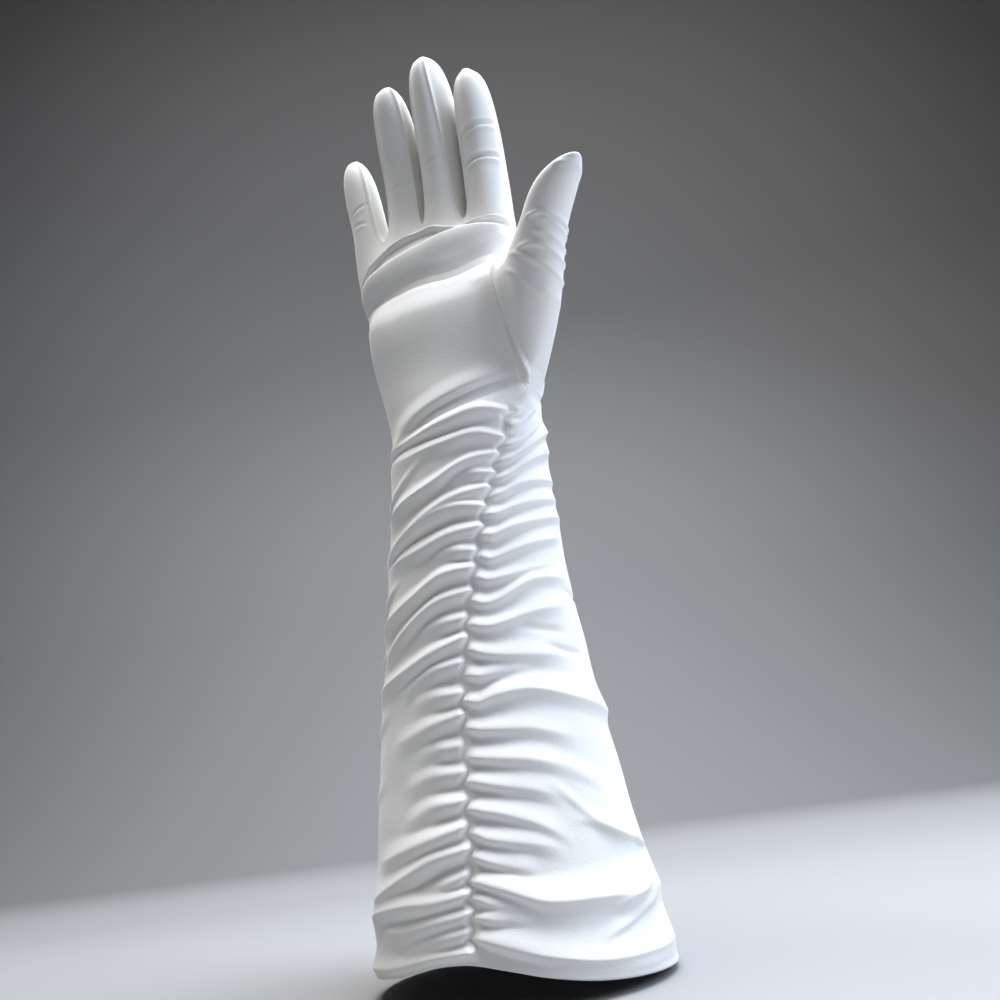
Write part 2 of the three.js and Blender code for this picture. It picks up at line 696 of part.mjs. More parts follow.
// Strip between the two borders: point to point on the hand, in step with the height on the sleeve
function addRim(outer, inner, addTriangle) {
  const shared = (v) => v < hand.points.length;
  const start = outer.border.findIndex(shared);
  const outerLoop = [...outer.border.slice(start), ...outer.border.slice(0, start + 1)];
  const innerStart = inner.border.indexOf(outerLoop[0]);
  const innerLoop = [...inner.border.slice(innerStart), ...inner.border.slice(0, innerStart + 1)];
  const a = outerLoop.map((v) => outer.points.get(v));
  const b = innerLoop.map((v) => inner.points.get(v));
  let [i, j] = [0, 0];
  while (i + 1 < a.length || j + 1 < b.length) {
    const canOuter = i + 1 < a.length;
    const canInner = j + 1 < b.length;
    const both = canOuter && canInner;
    const outerDiagonal = both ? a[i + 1].distanceTo(b[j]) : 0;
    const innerDiagonal = both ? a[i].distanceTo(b[j + 1]) : 0;
    if (canOuter && (!canInner || outerDiagonal <= innerDiagonal)) {
      addTriangle(a[i + 1], a[i], b[j]);
      i += 1;
    } else {
      addTriangle(b[j], b[j + 1], a[i]);
      j += 1;
    }
  }
}

// Cloth finishes, one for each kind of piece
const IVORY_WHITE = "#f1efe9";
const STRIP_WHITE = "#e9e4d6";
function clothMaterial(colour) {
  return new THREE.MeshStandardMaterial({ color: colour, roughness: 0.85, metalness: 0 });
}

// The glove
const glove = new THREE.Group();
for (const name of ["palm_panel", "back_panel", "thumb", ...FOURCHETTES]) {
  const colour = name.startsWith("fourchette") ? STRIP_WHITE : IVORY_WHITE;
  const piece = new THREE.Mesh(clothGeometry(name), clothMaterial(colour));
  piece.name = name;
  glove.add(piece);
}

export default glove;
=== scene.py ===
import bpy
import numpy as np
from mathutils import Matrix, Vector


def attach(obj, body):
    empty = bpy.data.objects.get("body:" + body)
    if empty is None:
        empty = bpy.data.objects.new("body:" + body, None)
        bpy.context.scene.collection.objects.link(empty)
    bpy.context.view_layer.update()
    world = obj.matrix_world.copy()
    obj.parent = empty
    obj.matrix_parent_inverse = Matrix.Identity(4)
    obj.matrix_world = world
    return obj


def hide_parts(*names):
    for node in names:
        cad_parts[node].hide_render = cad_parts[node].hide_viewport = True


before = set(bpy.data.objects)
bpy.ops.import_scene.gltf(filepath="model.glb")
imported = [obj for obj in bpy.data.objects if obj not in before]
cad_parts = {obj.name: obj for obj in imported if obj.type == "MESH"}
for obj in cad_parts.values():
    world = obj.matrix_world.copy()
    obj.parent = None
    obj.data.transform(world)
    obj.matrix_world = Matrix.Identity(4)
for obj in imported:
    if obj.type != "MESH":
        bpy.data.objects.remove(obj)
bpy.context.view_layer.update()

MM = 0.001
PALM, BACK, THUMB_PIECE, LITTLE_RING, RING_MIDDLE, MIDDLE_INDEX = range(6)
PIECES = ("palm_panel", "back_panel", "thumb")
PIECES += ("fourchette_little_ring", "fourchette_ring_middle", "fourchette_middle_index")

# Form of the glove, in millimetres. Sleeve and palm, from the hem up
# columns: height, middle in X, half width, depth to the palm side, depth to the back, squareness,
# and the fullness that the palm side gains towards the thumb
WRIST_Z = 181
SECTIONS = np.array([
    [0, 0, 46.4, 42.5, 42.5, 2, 0],
    [28, -1.2, 43.5, 40, 40, 2, 0],
    [65, -2.5, 39.5, 35.5, 35.5, 2, 0],
    [106, -2.4, 35.1, 31, 31, 2, 0],
    [152, -1.4, 31.9, 27, 27, 2, 0],
    [WRIST_Z, 0.2, 30.9, 24.5, 24.5, 2, 0],
    [190, -0.9, 30.6, 23, 22.5, 2, 1],
    [207, -1.8, 33, 20.5, 19, 2.1, 3],
    [224, -3.2, 34.6, 18.5, 16.5, 2.2, 5],
    [241, -3.8, 35.6, 17, 14.5, 2.3, 5],
    [256, -5.4, 36.6, 15.5, 13, 2.4, 1],
    [270, -6, 39.6, 13, 11.5, 2.6, 0],
])
HAND_RINGS = (190, 207, 224, 241, 256, 270)
# columns: root x, root z, tip x, tip y, tip z, root half width, tip half width,
# angle of the left seam, angles of the right seam at the root and at the tip
FINGERS = np.array([
    [-36.6, 287, -43.9, -4, 348.6, 8.7, 8.1, 42, 40, 54],
    [-15.9, 287, -13.6, -17, 367.2, 9.5, 9.6, 50, 52, 56],
    [3.6, 283, 9.2, -18, 370.8, 10.3, 10.6, 40, 44, 12],
    [23.6, 271, 27.2, -13, 354, 9.6, 9.1, 45, 64, 70],
])
GAP_SHARE = 0.93  # where the outer fingers' sides lie, as a share of the palm's half width
CROTCH_DROP = 4.6  # how far the web between two fingers lies under their root rings
FINGER_STATIONS = (0.2, 0.44, 0.69, 0.91)  # rings, as shares of the way from root to tip
FINGER_BEND = 1.7  # power of the way along with which a finger curls forward
FINGER_STEP = 0.02  # share of the way over which a finger's direction is taken
TIP_OVERSHOOT = 3.6  # how far the cage's tip point lies past the smooth tip
TIP_TAPER = 0.84  # width of a finger's last ring, as a share of the one before it
# size of the smooth surface as a share of its cage's, for the palm, the fingers and the thumb
RING_LIMIT, FINGER_LIMIT, THUMB_LIMIT = 0.984, 0.902, 0.936
# columns: height, front x, front y, back x, back y
THUMB_SEAM = np.array([
    [190, 34.3, -8, 31, 9],
    [207, 33, -14.6, 33.5, 7],
    [224, 33, -17.8, 34.5, 6],
    [241, 31.6, -17.4, 35, 4],
])
# columns: outer point x, y, z, inner point x, y, z, half depth front to back
THUMB = np.array([
    [39.6, -5, 198.5, 34.4, -13.5, 241.8, 13.5],
    [50, -12, 212, 38.6, -18, 243, 12],
    [55.8, -17, 222.6, 42.8, -21.5, 244.8, 10.5],
    [60.4, -22, 234.1, 47.4, -25, 247.2, 9.6],
    [65.8, -26, 242.2, 51.8, -28, 251.7, 8.8],
    [71, -29, 248.4, 58, -30, 256.5, 7.6],
    [74.9, -31, 253.6, 67, -32, 258.5, 5.2],
])
THUMB_TIP = (76.9, -33.5, 257.8)
# columns: height, angle round the section from +X towards the back
GATHER = np.array([
    [0, -82], [37, -79], [78, -76.9], [109, -70.4], [144, -56.2], [170, -40.6], [WRIST_Z, -37.5],
])
# columns: height, slant of the cloth's rows towards the little finger's side, towards the thumb's side
SLANTS = np.array([
    [0, 0, 0], [30, -0.2, -0.16], [60, -0.15, -0.2], [90, -0.24, 0], [120, -0.24, 0.25], [150, -0.2, 0.3],
])
# columns: distance from the thread, minus towards the little finger's side, lift of the hem
HEM_LIFTS = np.array([
    [-80, 0], [-55, 3.5], [-28, 6.3], [-11, 9.4], [0, 9.8], [11, 7.6], [20, 5.4], [33, 3], [47, 1.5], [70, 0],
])

# Gathered folds on the little finger's side, from the wrist down: the line of each crest
# columns: height at the thread, and 10, 20, 35 and 50 mm from it, fold height, height far out, reach
LEFT_FOLDS = np.array([
    [178.6, 180.2, 178.3, 176.4, 178, 2.6, 1.1, 66],
    [168, 170.4, 169.4, 169.2, 172, 2.47, 0.9, 62],
    [161.8, 160.2, 154.6, 150.8, 148, 2.47, 2.21, 46],
    [154.2, 155.2, 153.5, 151, 149, 2.08, 0.78, 15],
    [148.8, 147.2, 143.2, 136.3, 130, 2.47, 1.95, 44],
    [141.8, 143.4, 141.6, 137, 133, 2.34, 1.6, 50],
    [134.3, 133.5, 131, 130, 129, 2.34, 1.69, 40],
    [126, 127.6, 126.5, 125, 124, 2.08, 0.78, 14],
    [120.3, 119.6, 114.8, 110, 106, 2.6, 2.08, 46],
    [112.4, 110.9, 105.8, 97, 90, 2.47, 1.95, 38],
    [103.8, 103.2, 101, 99, 98, 2.08, 0.91, 16],
    [97.4, 94.6, 91.3, 88, 86, 2.47, 1.95, 44],
    [89.7, 88.5, 84.6, 81, 79, 2.08, 1.04, 23],
    [80.4, 80.6, 79, 77, 76, 1.95, 0.78, 17],
    [74.1, 72.2, 69.6, 67, 66, 1.95, 0.91, 25],
    [65.3, 64.8, 62.5, 60, 59, 1.82, 0.65, 15],
    [57.8, 57.8, 55, 52, 51, 1.82, 0.78, 20],
    [50.2, 49.5, 45.8, 42, 40, 2.2, 0.9, 20],
    [43.6, 41.2, 38.9, 36, 35, 2.6, 1.6, 36],
    [37.9, 36, 32.5, 27.6, 24, 2.7, 1.7, 52],
    [31.5, 28.8, 26, 23, 22, 2.4, 1, 18],
    [27.2, 25.8, 25.2, 23.2, 20.6, 2.8, 1.6, 74],
    [22.4, 20.8, 18.9, 17.9, 17.4, 2.5, 1.6, 34],
    [18.2, 16.6, 14.6, 13, 12, 2.2, 1.1, 22],
    [13.8, 11.6, 9.2, 7.2, 6.2, 2.5, 1.8, 60],
])
LEFT_KNOTS = np.array([0, 10, 20, 35, 50])
# The same on the thumb's side: the line of the groove under each crest
# columns: height at the thread, and 5, 10, 20, 35 and 55 mm from it, fold height, height far out, reach
RIGHT_FOLDS = np.array([
    [175.9, 177.4, 182.2, 188, 190, 191, 2.17, 1.22, 13],
    [169.7, 171.4, 176.6, 185, 190, 191, 2.17, 1.62, 18],
    [163, 163.8, 167.8, 178, 186, 188, 2.17, 1.62, 20],
    [156.6, 157.8, 162.6, 171.5, 178, 180, 2.32, 1.89, 30],
    [150, 150.6, 155.4, 162.5, 168, 170, 2.32, 1.62, 30],
    [143.2, 143.8, 147.4, 151, 154, 156, 2.17, 1.62, 36],
    [137, 136.3, 138.8, 142.3, 146, 148, 2.17, 1.62, 38],
    [130, 128.6, 131, 134.5, 138.6, 140, 2.32, 1.62, 40],
    [122.6, 120.2, 121.9, 126, 130, 132, 2.17, 1.62, 36],
    [115.4, 113.1, 113.6, 116.5, 120, 122, 2.17, 1.2, 30],
    [107.8, 105.4, 106.4, 112.4, 114.3, 115, 2.17, 1.62, 38],
    [100, 98, 98, 101.2, 104, 105, 2.17, 1.35, 34],
    [92.2, 89.8, 88.5, 87.5, 87, 87, 2.17, 1.2, 32],
    [84.2, 82.6, 83, 84, 84, 84, 2.17, 0.8, 20],
    [76.6, 74.8, 76.2, 77.2, 74.2, 70.8, 2.17, 1.7, 84],
    [68.7, 67, 66.4, 65.4, 61.5, 58, 2.17, 1.08, 34],
    [60.2, 59, 58.2, 56.6, 52, 48, 2.17, 0.94, 28],
    [53.8, 52.2, 50.8, 48.3, 43, 38, 2.17, 1.22, 26],
    [46.5, 44.8, 43.4, 39.4, 31, 24, 2.32, 1.35, 27],
    [40.3, 37.9, 36.6, 34.2, 29, 25, 2.32, 1.22, 25],
    [34.4, 32.3, 30.6, 27.8, 24, 22, 2.17, 1.08, 18],
    [28.3, 26.6, 24.8, 21, 19.8, 18.6, 2.32, 1.5, 90],
    [24.3, 22.2, 20.9, 19, 17, 16, 1.89, 0.81, 16],
    [20, 18.5, 17.7, 17, 16, 15, 1.89, 0.81, 16],
    [14.9, 13.4, 11.8, 8.6, 5.6, 4.6, 2.03, 1.5, 84],
])
RIGHT_KNOTS = np.array([0, 5, 10, 20, 35, 55])

# Loose folds and hollows of the sleeve, away from the thread
# columns: distance and height at the start, middle and end, fold height, width above, width below
LOOSE_FOLDS = np.array([
    [0, 196.2, -20, 188.8, -52, 178.6, 1.2, 9, 4.6],
    [5, 192.4, -12, 187.2, -38, 180.2, -1.9, 5, 5.5],
    [-4, 174.8, -24, 173.6, -52, 174.6, -1.1, 2.6, 2.6],
    [-28, 164, -40, 158, -56, 152, 0.8, 4, 3],
    [-6, 138.6, -22, 136.2, -40, 131, -0.7, 2.4, 2.2],
    [-30, 122, -44, 117, -60, 112, 0.9, 4, 2.4],
    [-34, 101, -46, 96, -62, 92, 0.9, 4, 2.4],
    [-28, 80, -44, 74, -64, 70, 0.6, 5, 4],
    [-34, 58, -50, 53, -66, 50, 0.6, 5, 4],
    [16, 99, 26, 97.6, 34, 97, -0.7, 2.4, 2],
    [36, 112, 46, 111.5, 60, 111, -0.6, 2, 2],
    [26, 92.5, 34, 90.8, 44, 90, -0.6, 2, 2],
    [10, 60, 26, 57, 44, 50, 0.5, 5, 4],
    [24, 52, 38, 41, 56, 31, 0.5, 3, 2.5],
    [34, 41.2, 46, 37.2, 66, 31.6, 1.3, 4.2, 2.2],
    [40, 18, 50, 21, 62, 24, 0.9, 3, 1.8],
    [36, 12.5, 48, 15.5, 62, 19, 0.8, 3, 1.8],
    [10, 6.8, 30, 3.4, 60, 2.2, 0.9, 3.4, 3],
    [-12, 6.6, -34, 4.2, -66, 2.6, 0.8, 3.2, 3],
])

# Folds across the palm under the fingers
# columns: x, height of the roll's upper edge, of the second ridge, of the long hollow, of the swell's crest
PALM_LINES = np.array([
    [-44, 266, 261, 252, 237],
    [-35, 273.7, 267, 253.6, 237],
    [-26, 279.4, 268.6, 252.4, 235],
    [-19, 281, 269.4, 251.4, 233],
    [-9, 281.4, 270, 251, 232.5],
    [0, 280.2, 270.4, 249.4, 231],
    [6, 276.6, 270.8, 247.8, 230],
    [13, 273.4, 270.6, 247.4, 229.5],
    [22, 273.4, 269, 249.4, 230.5],
    [31, 272.6, 267, 252.6, 233],
    [40, 271, 266, 254, 235],
])
# columns: drop below its line, height out of the palm, width above, width below (0: to the swell)
PALM_SHAPES = ((0.9, 1.9, 1.5, 2.6), (0.9, 2.9, 2.6, 17.0), (0.0, -1.3, 9.0, 5.0))
SWELL, SWELL_BELOW = 3.4, 34

# Creases across the fingers, on the palm side
# columns: left x, left height, right x, right height, rise in the middle, depth, half width
CREASES = np.array([
    [20.5, 317.4, 38, 320.6, 0.6, 0.6, 0.8],
    [19.5, 303, 37, 303.6, 0.6, 0.9, 0.8],
    [0, 312, 12, 311.6, 0.8, 0.35, 1],
    [-20, 309.4, -9, 311, 0.8, 0.3, 1],
    [-44, 310.6, -34, 315.2, 0.6, 0.3, 1],
    [-44, 304.4, -34.5, 303.4, 0.4, 0.3, 1],
])

# Dents of the hand: the crook of the thumb and the fold under it, the end of its seam, its tip,
# the nub on the index finger, the heel of the palm, and a ridge and groove beside the thumb's seam
# columns: one end x, y, z, other end x, y, z, radius, depth (minus: height)
DENTS = np.array([
    [36, -11, 251, 31, -15.5, 244.5, 4.4, 3.4],
    [22, -19, 238, 32, -20.5, 238.5, 2.8, -1.2],
    [35.5, -4, 191.5, 35, 2, 191, 5, 2.4],
    [75, -38.5, 255, 77.5, -37, 254, 2.2, 0.4],
    [27.6, -14.6, 352.5, 27.2, -14.8, 354, 2.6, -1],
    [-25, -17, 240, -24, -18, 200, 9, -0.9],
    [29.2, -19.4, 237, 30, -18, 214, 1.4, -1],
    [31.3, -20.2, 234, 31.6, -18.4, 214, 1.2, 0.6],
])

# Soft folds of the thumb
# columns: x and height at the start, middle and end, fold height, width above, width below
THUMB_FOLDS = np.array([
    [51, 241.6, 58.5, 239.4, 64, 237, 0.7, 1.8, 1.5],
    [44, 233.8, 52.8, 230.7, 58.5, 226.6, 0.7, 2.2, 1.6],
    [56, 238.6, 60.6, 235.9, 63.5, 233.6, 0.6, 1.2, 1.1],
    [52, 235.6, 58.8, 232, 61.5, 229, 0.6, 1.5, 1.2],
    [40, 235.6, 47.5, 228.2, 56.5, 220.8, 0.6, 2.4, 1.6],
    [36, 231.8, 42.6, 223.8, 48, 216, 0.5, 2.4, 1.8],
    [66, 254.6, 71, 252.8, 76, 252.4, 0.35, 2, 2.4],
])

# Cage of the hand: its columns, from the little finger's side over the palm, the thumb's side and the back
COLUMNS, THUMB_COLUMN, SIDE_COLUMN, THUMB_RINGS = 20, 9, 10, 4
MIRRORED = np.minimum(np.arange(COLUMNS), COLUMNS - np.arange(COLUMNS))
GAP_OF, FINGER_OF = (np.clip((MIRRORED - 1) // 2, 0, last) for last in (4, 3))
SIDE = np.where(np.arange(COLUMNS) < SIDE_COLUMN, -1, 1)
ROOT_X, ROOT_Z, ROOT_HALF = FINGERS[:, 0], FINGERS[:, 1], FINGERS[:, 5]
GAP_X = np.r_[ROOT_X[0] - ROOT_HALF[0], (ROOT_X[1:] + ROOT_X[:-1]) / 2, ROOT_X[3] + ROOT_HALF[3]]

# Rows and columns of the sleeve
OUTER_ROWS, INNER_ROWS = 362, 21
CROWDING = 11.0  # distance from the thread within which the columns are closest
DRAWN_OVER = 40.0  # height below the wrist over which the columns draw together
SLANT_ZONE = 34.0  # height below the wrist over which the rows turn level
HEM_ZONE = 13.9  # height over which the hem's lift dies out
SLEEVE_END = 194, 206  # heights over which the sleeve's folds die out on the hand

# Folds at the thread
TAUT_ZONE = 8, 34  # distances from the thread over which the folds turn taut
TAUT_POWER, TAUT_SHARE = 1.7, 0.85
ABOVE_LEFT, BELOW_LEFT = 3.3, 4.6  # widths of a fold over and under its crest, at the thread
ABOVE_RIGHT, BELOW_RIGHT = 4.6, 2.8
FOLD_GROWTH = 0.022  # growth of those widths per mm from the thread, as a share
FAR_FROM, FAR_SHARE = 4, 0.75  # distance, and share of its reach, where a fold's near height turns far
REACH_ZONE = 0.7, 1.15  # shares of its reach over which a fold dies out
CREST_RISE = 2.2  # height of a right crest over its groove
FOLDS_END = 188, 200  # heights over which these folds die out
BRAID_LEFT, BRAID_RIGHT, BRAID_CHANGE = 1.5, -0.6, 0.45  # reach of each side's folds over the thread
BRAID_BEATS = 2.4, 1.7  # turn of that change from one fold to the next, left and right
BRAID_RISE = 1.0  # height over a right fold's row at which it reaches furthest
BRAID_END = 180, 184
TIP_LEFT, TIP_RIGHT = 0.9, 2.2  # width over which a fold rises from the thread
BLEND = 4  # how sharply the higher of two overlapping folds wins
GROOVE_DEPTH, GROOVE_WIDTH = 0.15, 0.8  # the thread's own groove
GROOVE_FOOT, GROOVE_END = (4, 9), (176, 180)
FADE = 0.3  # share of its length over which a loose fold dies out

# Hand: the zones in X, height and depth over which its folds die out, the lips of a crease, and the seams
PALM_FACING = 0.1, 0.6  # how far the cloth has to face forward
PALM_EDGE, SWELL_EDGE = (-47, -31), (-44, -28)
THUMB_EDGE, INDEX_EDGE, INDEX_FROM = (31, 37), (28, 36.5), 262
SWELL_EASE, SWELL_EASE_ZONE = 0.15, (-10, 28)
CREASE_LIPS, LIP_AWAY, LIP_WIDTH = ((0.6, -1), (0.35, 1)), 1.5, 1.2
THUMB_FRONT, THUMB_TAIL = (-14, -6), (2, 6)
RIDGES = (
    (0.6, ((PALM, LITTLE_RING), (PALM, RING_MIDDLE), (PALM, MIDDLE_INDEX), (PALM, BACK))),
    (0.4, ((BACK, LITTLE_RING), (BACK, RING_MIDDLE), (BACK, MIDDLE_INDEX))),
)
RIDGE_WIDTH = 0.8
LAPS = ((1.0, (PALM, THUMB_PIECE)), (0.35, (BACK, THUMB_PIECE)))
LAP_SHAPES = ((2.0, 0.8, 1.0), (-1.6, -1.1, 0.9))  # height, distance into the thumb, width
LAP_TOP = 238, 245
LAP_FOOT, LAP_FOOT_ZONE = (35.5, -3.0, 190.0), (3.5, 7.5)
SEAM_REACH, SEAM_TIP_ZONE = 4.0, (1.5, 7.0)
BLOCK = 600  # points measured at a time

# Cloth
FINE, COARSE = 4, 2  # rounds of subdivision outside and inside
CLOTH = 1.0  # thickness of the knitted cloth
INNER_DEPTH, WALL_TOP = 1.9, 150.0  # depth of the sleeve's inside, and where it starts to thin
SEAM_GAP = 0.03
HEM_ROUND = 1.1  # radius of the hem's outer edge
HEM_FADE = 0.5, 4  # heights over the hem where the folds begin
HEM_TOP, LEVEL = 12, 0.7  # a border edge this low and this level belongs to the hem
RIPPLE_LENGTH, RIPPLE_HEIGHT, HAND_RIPPLE = 15.0, 0.25, 0.4
SAG = 0.35  # drop of a fold's crest, as a share of its height
WRIST_BEND, WRIST_ROUND = 0.11, 10.0  # change of slope at the back of the wrist, and half its rounding
WRIST_BACK = 20  # depth over which the rounding grows towards the back

# Studio, in metres: a pale floor that curves up behind the glove
FLOOR_HALF, FLOOR_FRONT, FLOOR_BACK, CURVE, WALL = 4.0, -2.0, 0.9, 0.5, 5.0
FLOOR_DROP = 0.0015
HEADING, TILT, ROLL = np.radians([26, 22, 7.2])
SENSOR, FOCAL_SHARE = 36, 0.751
EYE = np.array([125.15, -233.84, 47.34]) * MM
MIDDLE = np.array([0, 0, 0.19])


def smooth(x, start, end):
    """An S curve: 0 before start, 1 after end, 3t squared less 2t cubed between."""
    t = np.clip((x - start) / (end - start), 0, 1)
    return t * t * (3 - 2 * t)


def column(table, index, at):
    """A smooth curve through a table's column: cubics with the mean slope of the neighbours at each row."""
    x, y = table[:, 0], table[:, index]
    rows = np.arange(len(x))
    before, after = np.maximum(rows - 1, 0), np.minimum(rows + 1, len(x) - 1)
    slope = (y[after] - y[before]) / (x[after] - x[before])
    i = np.clip(np.searchsorted(x, at, side="left") - 1, 0, len(x) - 2)
    span = x[i + 1] - x[i]
    t = np.clip((at - x[i]) / span, 0, 1)
    ends = (2 * t**3 - 3 * t**2 + 1) * y[i] + (3 * t**2 - 2 * t**3) * y[i + 1]
    return ends + span * ((t**3 - 2 * t**2 + t) * slope[i] + (t**3 - t**2) * slope[i + 1])


def section_point(z, across, side, grow=1.0):
    """Point of the sleeve's or palm's section: a superellipse, fuller towards the thumb on the palm side."""
    half = column(SECTIONS, 2, z) * grow
    depth = np.where(side < 0, column(SECTIONS, 3, z), column(SECTIONS, 4, z)) * grow
    power = column(SECTIONS, 5, z)
    rise = np.maximum(0, 1 - np.abs(across) ** power) ** (1 / power)
    fullness = np.where(side < 0, column(SECTIONS, 6, z) * np.maximum(0, across) ** 2, 0)
    x, y = column(SECTIONS, 1, z) + half * across, side * (depth * rise + fullness)
    return np.stack(np.broadcast_arrays(x, y, z), -1)


def hand_rings():
    """Rings of the palm: even angles round the section at the wrist, in line with the fingers at the top."""
    z = np.array([WRIST_Z, *HAND_RINGS], float)[:, None]
    at_wrist = -np.cos(np.arange(COLUMNS) * 2 * np.pi / COLUMNS)
    x = np.where(MIRRORED % 2, GAP_X[GAP_OF], ROOT_X[FINGER_OF])
    at_fingers = (x - (GAP_X[0] + GAP_X[4]) / 2) / ((GAP_X[4] - GAP_X[0]) / 2) * GAP_SHARE
    is_side = (MIRRORED == 0) | (MIRRORED == SIDE_COLUMN)
    share = np.where(is_side, 0, smooth(z, HAND_RINGS[1], HAND_RINGS[-1]))
    rings = section_point(z, at_wrist + (at_fingers - at_wrist) * share, SIDE, 1 / RING_LIMIT)
    rings[1 : 1 + THUMB_RINGS, THUMB_COLUMN] = THUMB_SEAM[:, [1, 2, 0]]
    rings[1 : 1 + THUMB_RINGS, SIDE_COLUMN + 1] = THUMB_SEAM[:, [3, 4, 0]]
    return rings


def root_ring():
    """Ring of 20 points round the roots of the four fingers."""
    left, right = np.clip(GAP_OF - 1, 0, 3), FINGER_OF
    gap_depth = (ROOT_HALF[left] + ROOT_HALF[right]) / 2 * np.sqrt(0.5)
    odd = MIRRORED % 2 == 1
    x = np.where(odd, GAP_X[GAP_OF], ROOT_X[right])
    y = SIDE * np.where(odd, gap_depth, ROOT_HALF[right]) / FINGER_LIMIT
    z = np.where(odd, (ROOT_Z[left] + ROOT_Z[right]) / 2, ROOT_Z[right])
    ring = np.stack([x, y, z], -1)
    ring[0] = [ROOT_X[0] - ROOT_HALF[0] / FINGER_LIMIT, 0, ROOT_Z[0]]
    ring[SIDE_COLUMN] = [ROOT_X[3] + ROOT_HALF[3] / FINGER_LIMIT, 0, ROOT_Z[3]]
    return ring


def round_ring(middle, first, second, half_first, half_second, angles):
    """An ellipse of points, at angles from the first axis towards the second."""
    turn = np.radians(angles)[:, None]
    return middle + first * half_first * np.cos(turn) + second * half_second * np.sin(turn)


def unit(v):
    """Vectors of length one along the last axis."""
    return v / np.maximum(np.linalg.norm(v, axis=-1, keepdims=True), 1e-12)


def finger_rings(k):
    """Rings of finger k and its tip: circles square to a line that curls forward by a power of the way."""
    x, z, tip_x, tip_y, tip_z, root_half, tip_half, left, right, right_tip = FINGERS[k]
    place = lambda t: np.array([x + (tip_x - x) * t, tip_y * t**FINGER_BEND, z + (tip_z - z) * t])
    direction = lambda t: unit(place(t + FINGER_STEP) - place(t - FINGER_STEP))
    rings = []
    for t in FINGER_STATIONS:
        along = direction(t)
        across = unit(np.array([1.0, 0, 0]) - along * along[0])
        taper = TIP_TAPER if t == FINGER_STATIONS[-1] else 1
        seam = right + (right_tip - right) * t
        angles = np.array([180, -90 - left, -90 + (seam - left) / 2, -90 + seam, 0, 45, 90, 135])
        half = (root_half + (tip_half - root_half) * t) * taper / FINGER_LIMIT
        rings.append(round_ring(place(t), across, np.cross(along, across), half, half, angles))
    return rings, place(1) + direction(1) * TIP_OVERSHOOT


def thumb_rings():
    """Rings of the thumb, each an ellipse on its outer and inner point."""
    angles = np.array([54, 18, -18, -54, -90, -126, -162, 162, 126, 90])
    rings = []
    for row in THUMB:
        outer, inner, half_depth = row[:3], row[3:6], row[6]
        inward = unit(inner - outer)
        palmward = unit(np.array([0, -1.0, 0]) + inward * inward[1])
        half_span = np.linalg.norm(inner - outer) / 2
        halves = half_depth / THUMB_LIMIT, half_span / THUMB_LIMIT
        rings.append(round_ring((outer + inner) / 2, palmward, inward, *halves, angles))
    return rings, np.array(THUMB_TIP)


class Cage:
    """Points, faces of four corners (-1 fills a triangle's last place) and the piece of each face."""

    def __init__(self):
        self.points, self.faces, self.pieces = [], [], []

    def add(self, points):
        first = sum(len(p) for p in self.points)
        self.points.append(np.atleast_2d(points))
        return np.arange(first, first + len(self.points[-1]))

    def join(self, lower, upper, pieces):
        """Faces between two rows of points."""
        after = np.roll(np.arange(len(lower)), -1)
        faces = np.stack([lower, lower[after], upper[after], upper], -1)
        keep = np.array(pieces) >= 0
        self.faces.append(faces[keep])
        self.pieces.append(np.array(pieces)[keep])

    def close(self, ring, circles, tip, pieces):
        """Circles of points from an open ring on, and a fan from the last to its tip."""
        for circle in circles:
            upper = self.add(circle)
            self.join(ring, upper, pieces)
            ring = upper
        end = np.full(len(ring), self.add(tip)[0])
        fan = np.stack([ring, np.roll(ring, -1), end, np.full(len(ring), -1)], -1)
        self.faces.append(fan)
        self.pieces.append(np.array(pieces))


def build_cage():
    """The hand's cage and its two open rings: palm rings, roots and webs, four fingers and the thumb."""
    cage = Cage()
    rings = [cage.add(r) for r in hand_rings()]
    root = cage.add(root_ring())
    web_z = (ROOT_Z[1:] + ROOT_Z[:-1]) / 2 - CROTCH_DROP
    webs = cage.add(np.stack([GAP_X[1:4], np.zeros(3), web_z], -1))
    panel = np.where(np.arange(COLUMNS) < SIDE_COLUMN, PALM, BACK)
    beside = panel.copy()
    beside[[THUMB_COLUMN, SIDE_COLUMN]] = -1
    for i, (lower, upper) in enumerate(zip(rings, rings[1:] + [root])):
        cage.join(lower, upper, beside if 1 <= i < THUMB_RINGS else panel)
    for k in range(4):
        left = PALM if k == 0 else LITTLE_RING + k - 1
        right = PALM if k == 3 else LITTLE_RING + k
        names = [left, PALM, PALM, right, BACK if k == 3 else right, BACK, BACK, BACK if k == 0 else left]
        before, after = root[0] if k == 0 else webs[k - 1], root[SIDE_COLUMN] if k == 3 else webs[k]
        ring = np.r_[before, root[2 * k + 1 :][:3], after, root[COLUMNS - 3 - 2 * k :][:3]]
        cage.close(ring, *finger_rings(k), names)
    side = [SIDE_COLUMN]
    round_thumb = [THUMB_COLUMN] * 4 + side + [SIDE_COLUMN + 1] * 4 + side
    ring = np.array(rings)[[4, 3, 2, 1, 1, 1, 2, 3, 4, 4], round_thumb]
    cage.close(ring, *thumb_rings(), [THUMB_PIECE] * len(ring))
    return np.vstack(cage.points), np.vstack(cage.faces), np.concatenate(cage.pieces), rings[0]


def corners_of(faces):
    """Face, vertex, next and previous vertex of every corner."""
    after, before = np.roll(faces, -1, 1), np.roll(faces, 1, 1)
    three = faces[:, 3] < 0
    after[three, 2], before[three, 0] = faces[three, 0], faces[three, 2]
    real = faces >= 0
    number = np.broadcast_to(np.arange(len(faces))[:, None], faces.shape)
    return number[real], faces[real], after[real], before[real]


def edge_key(a, b, count):
    """One number for an edge, whichever way it runs."""
    return np.minimum(a, b) * count + np.maximum(a, b)


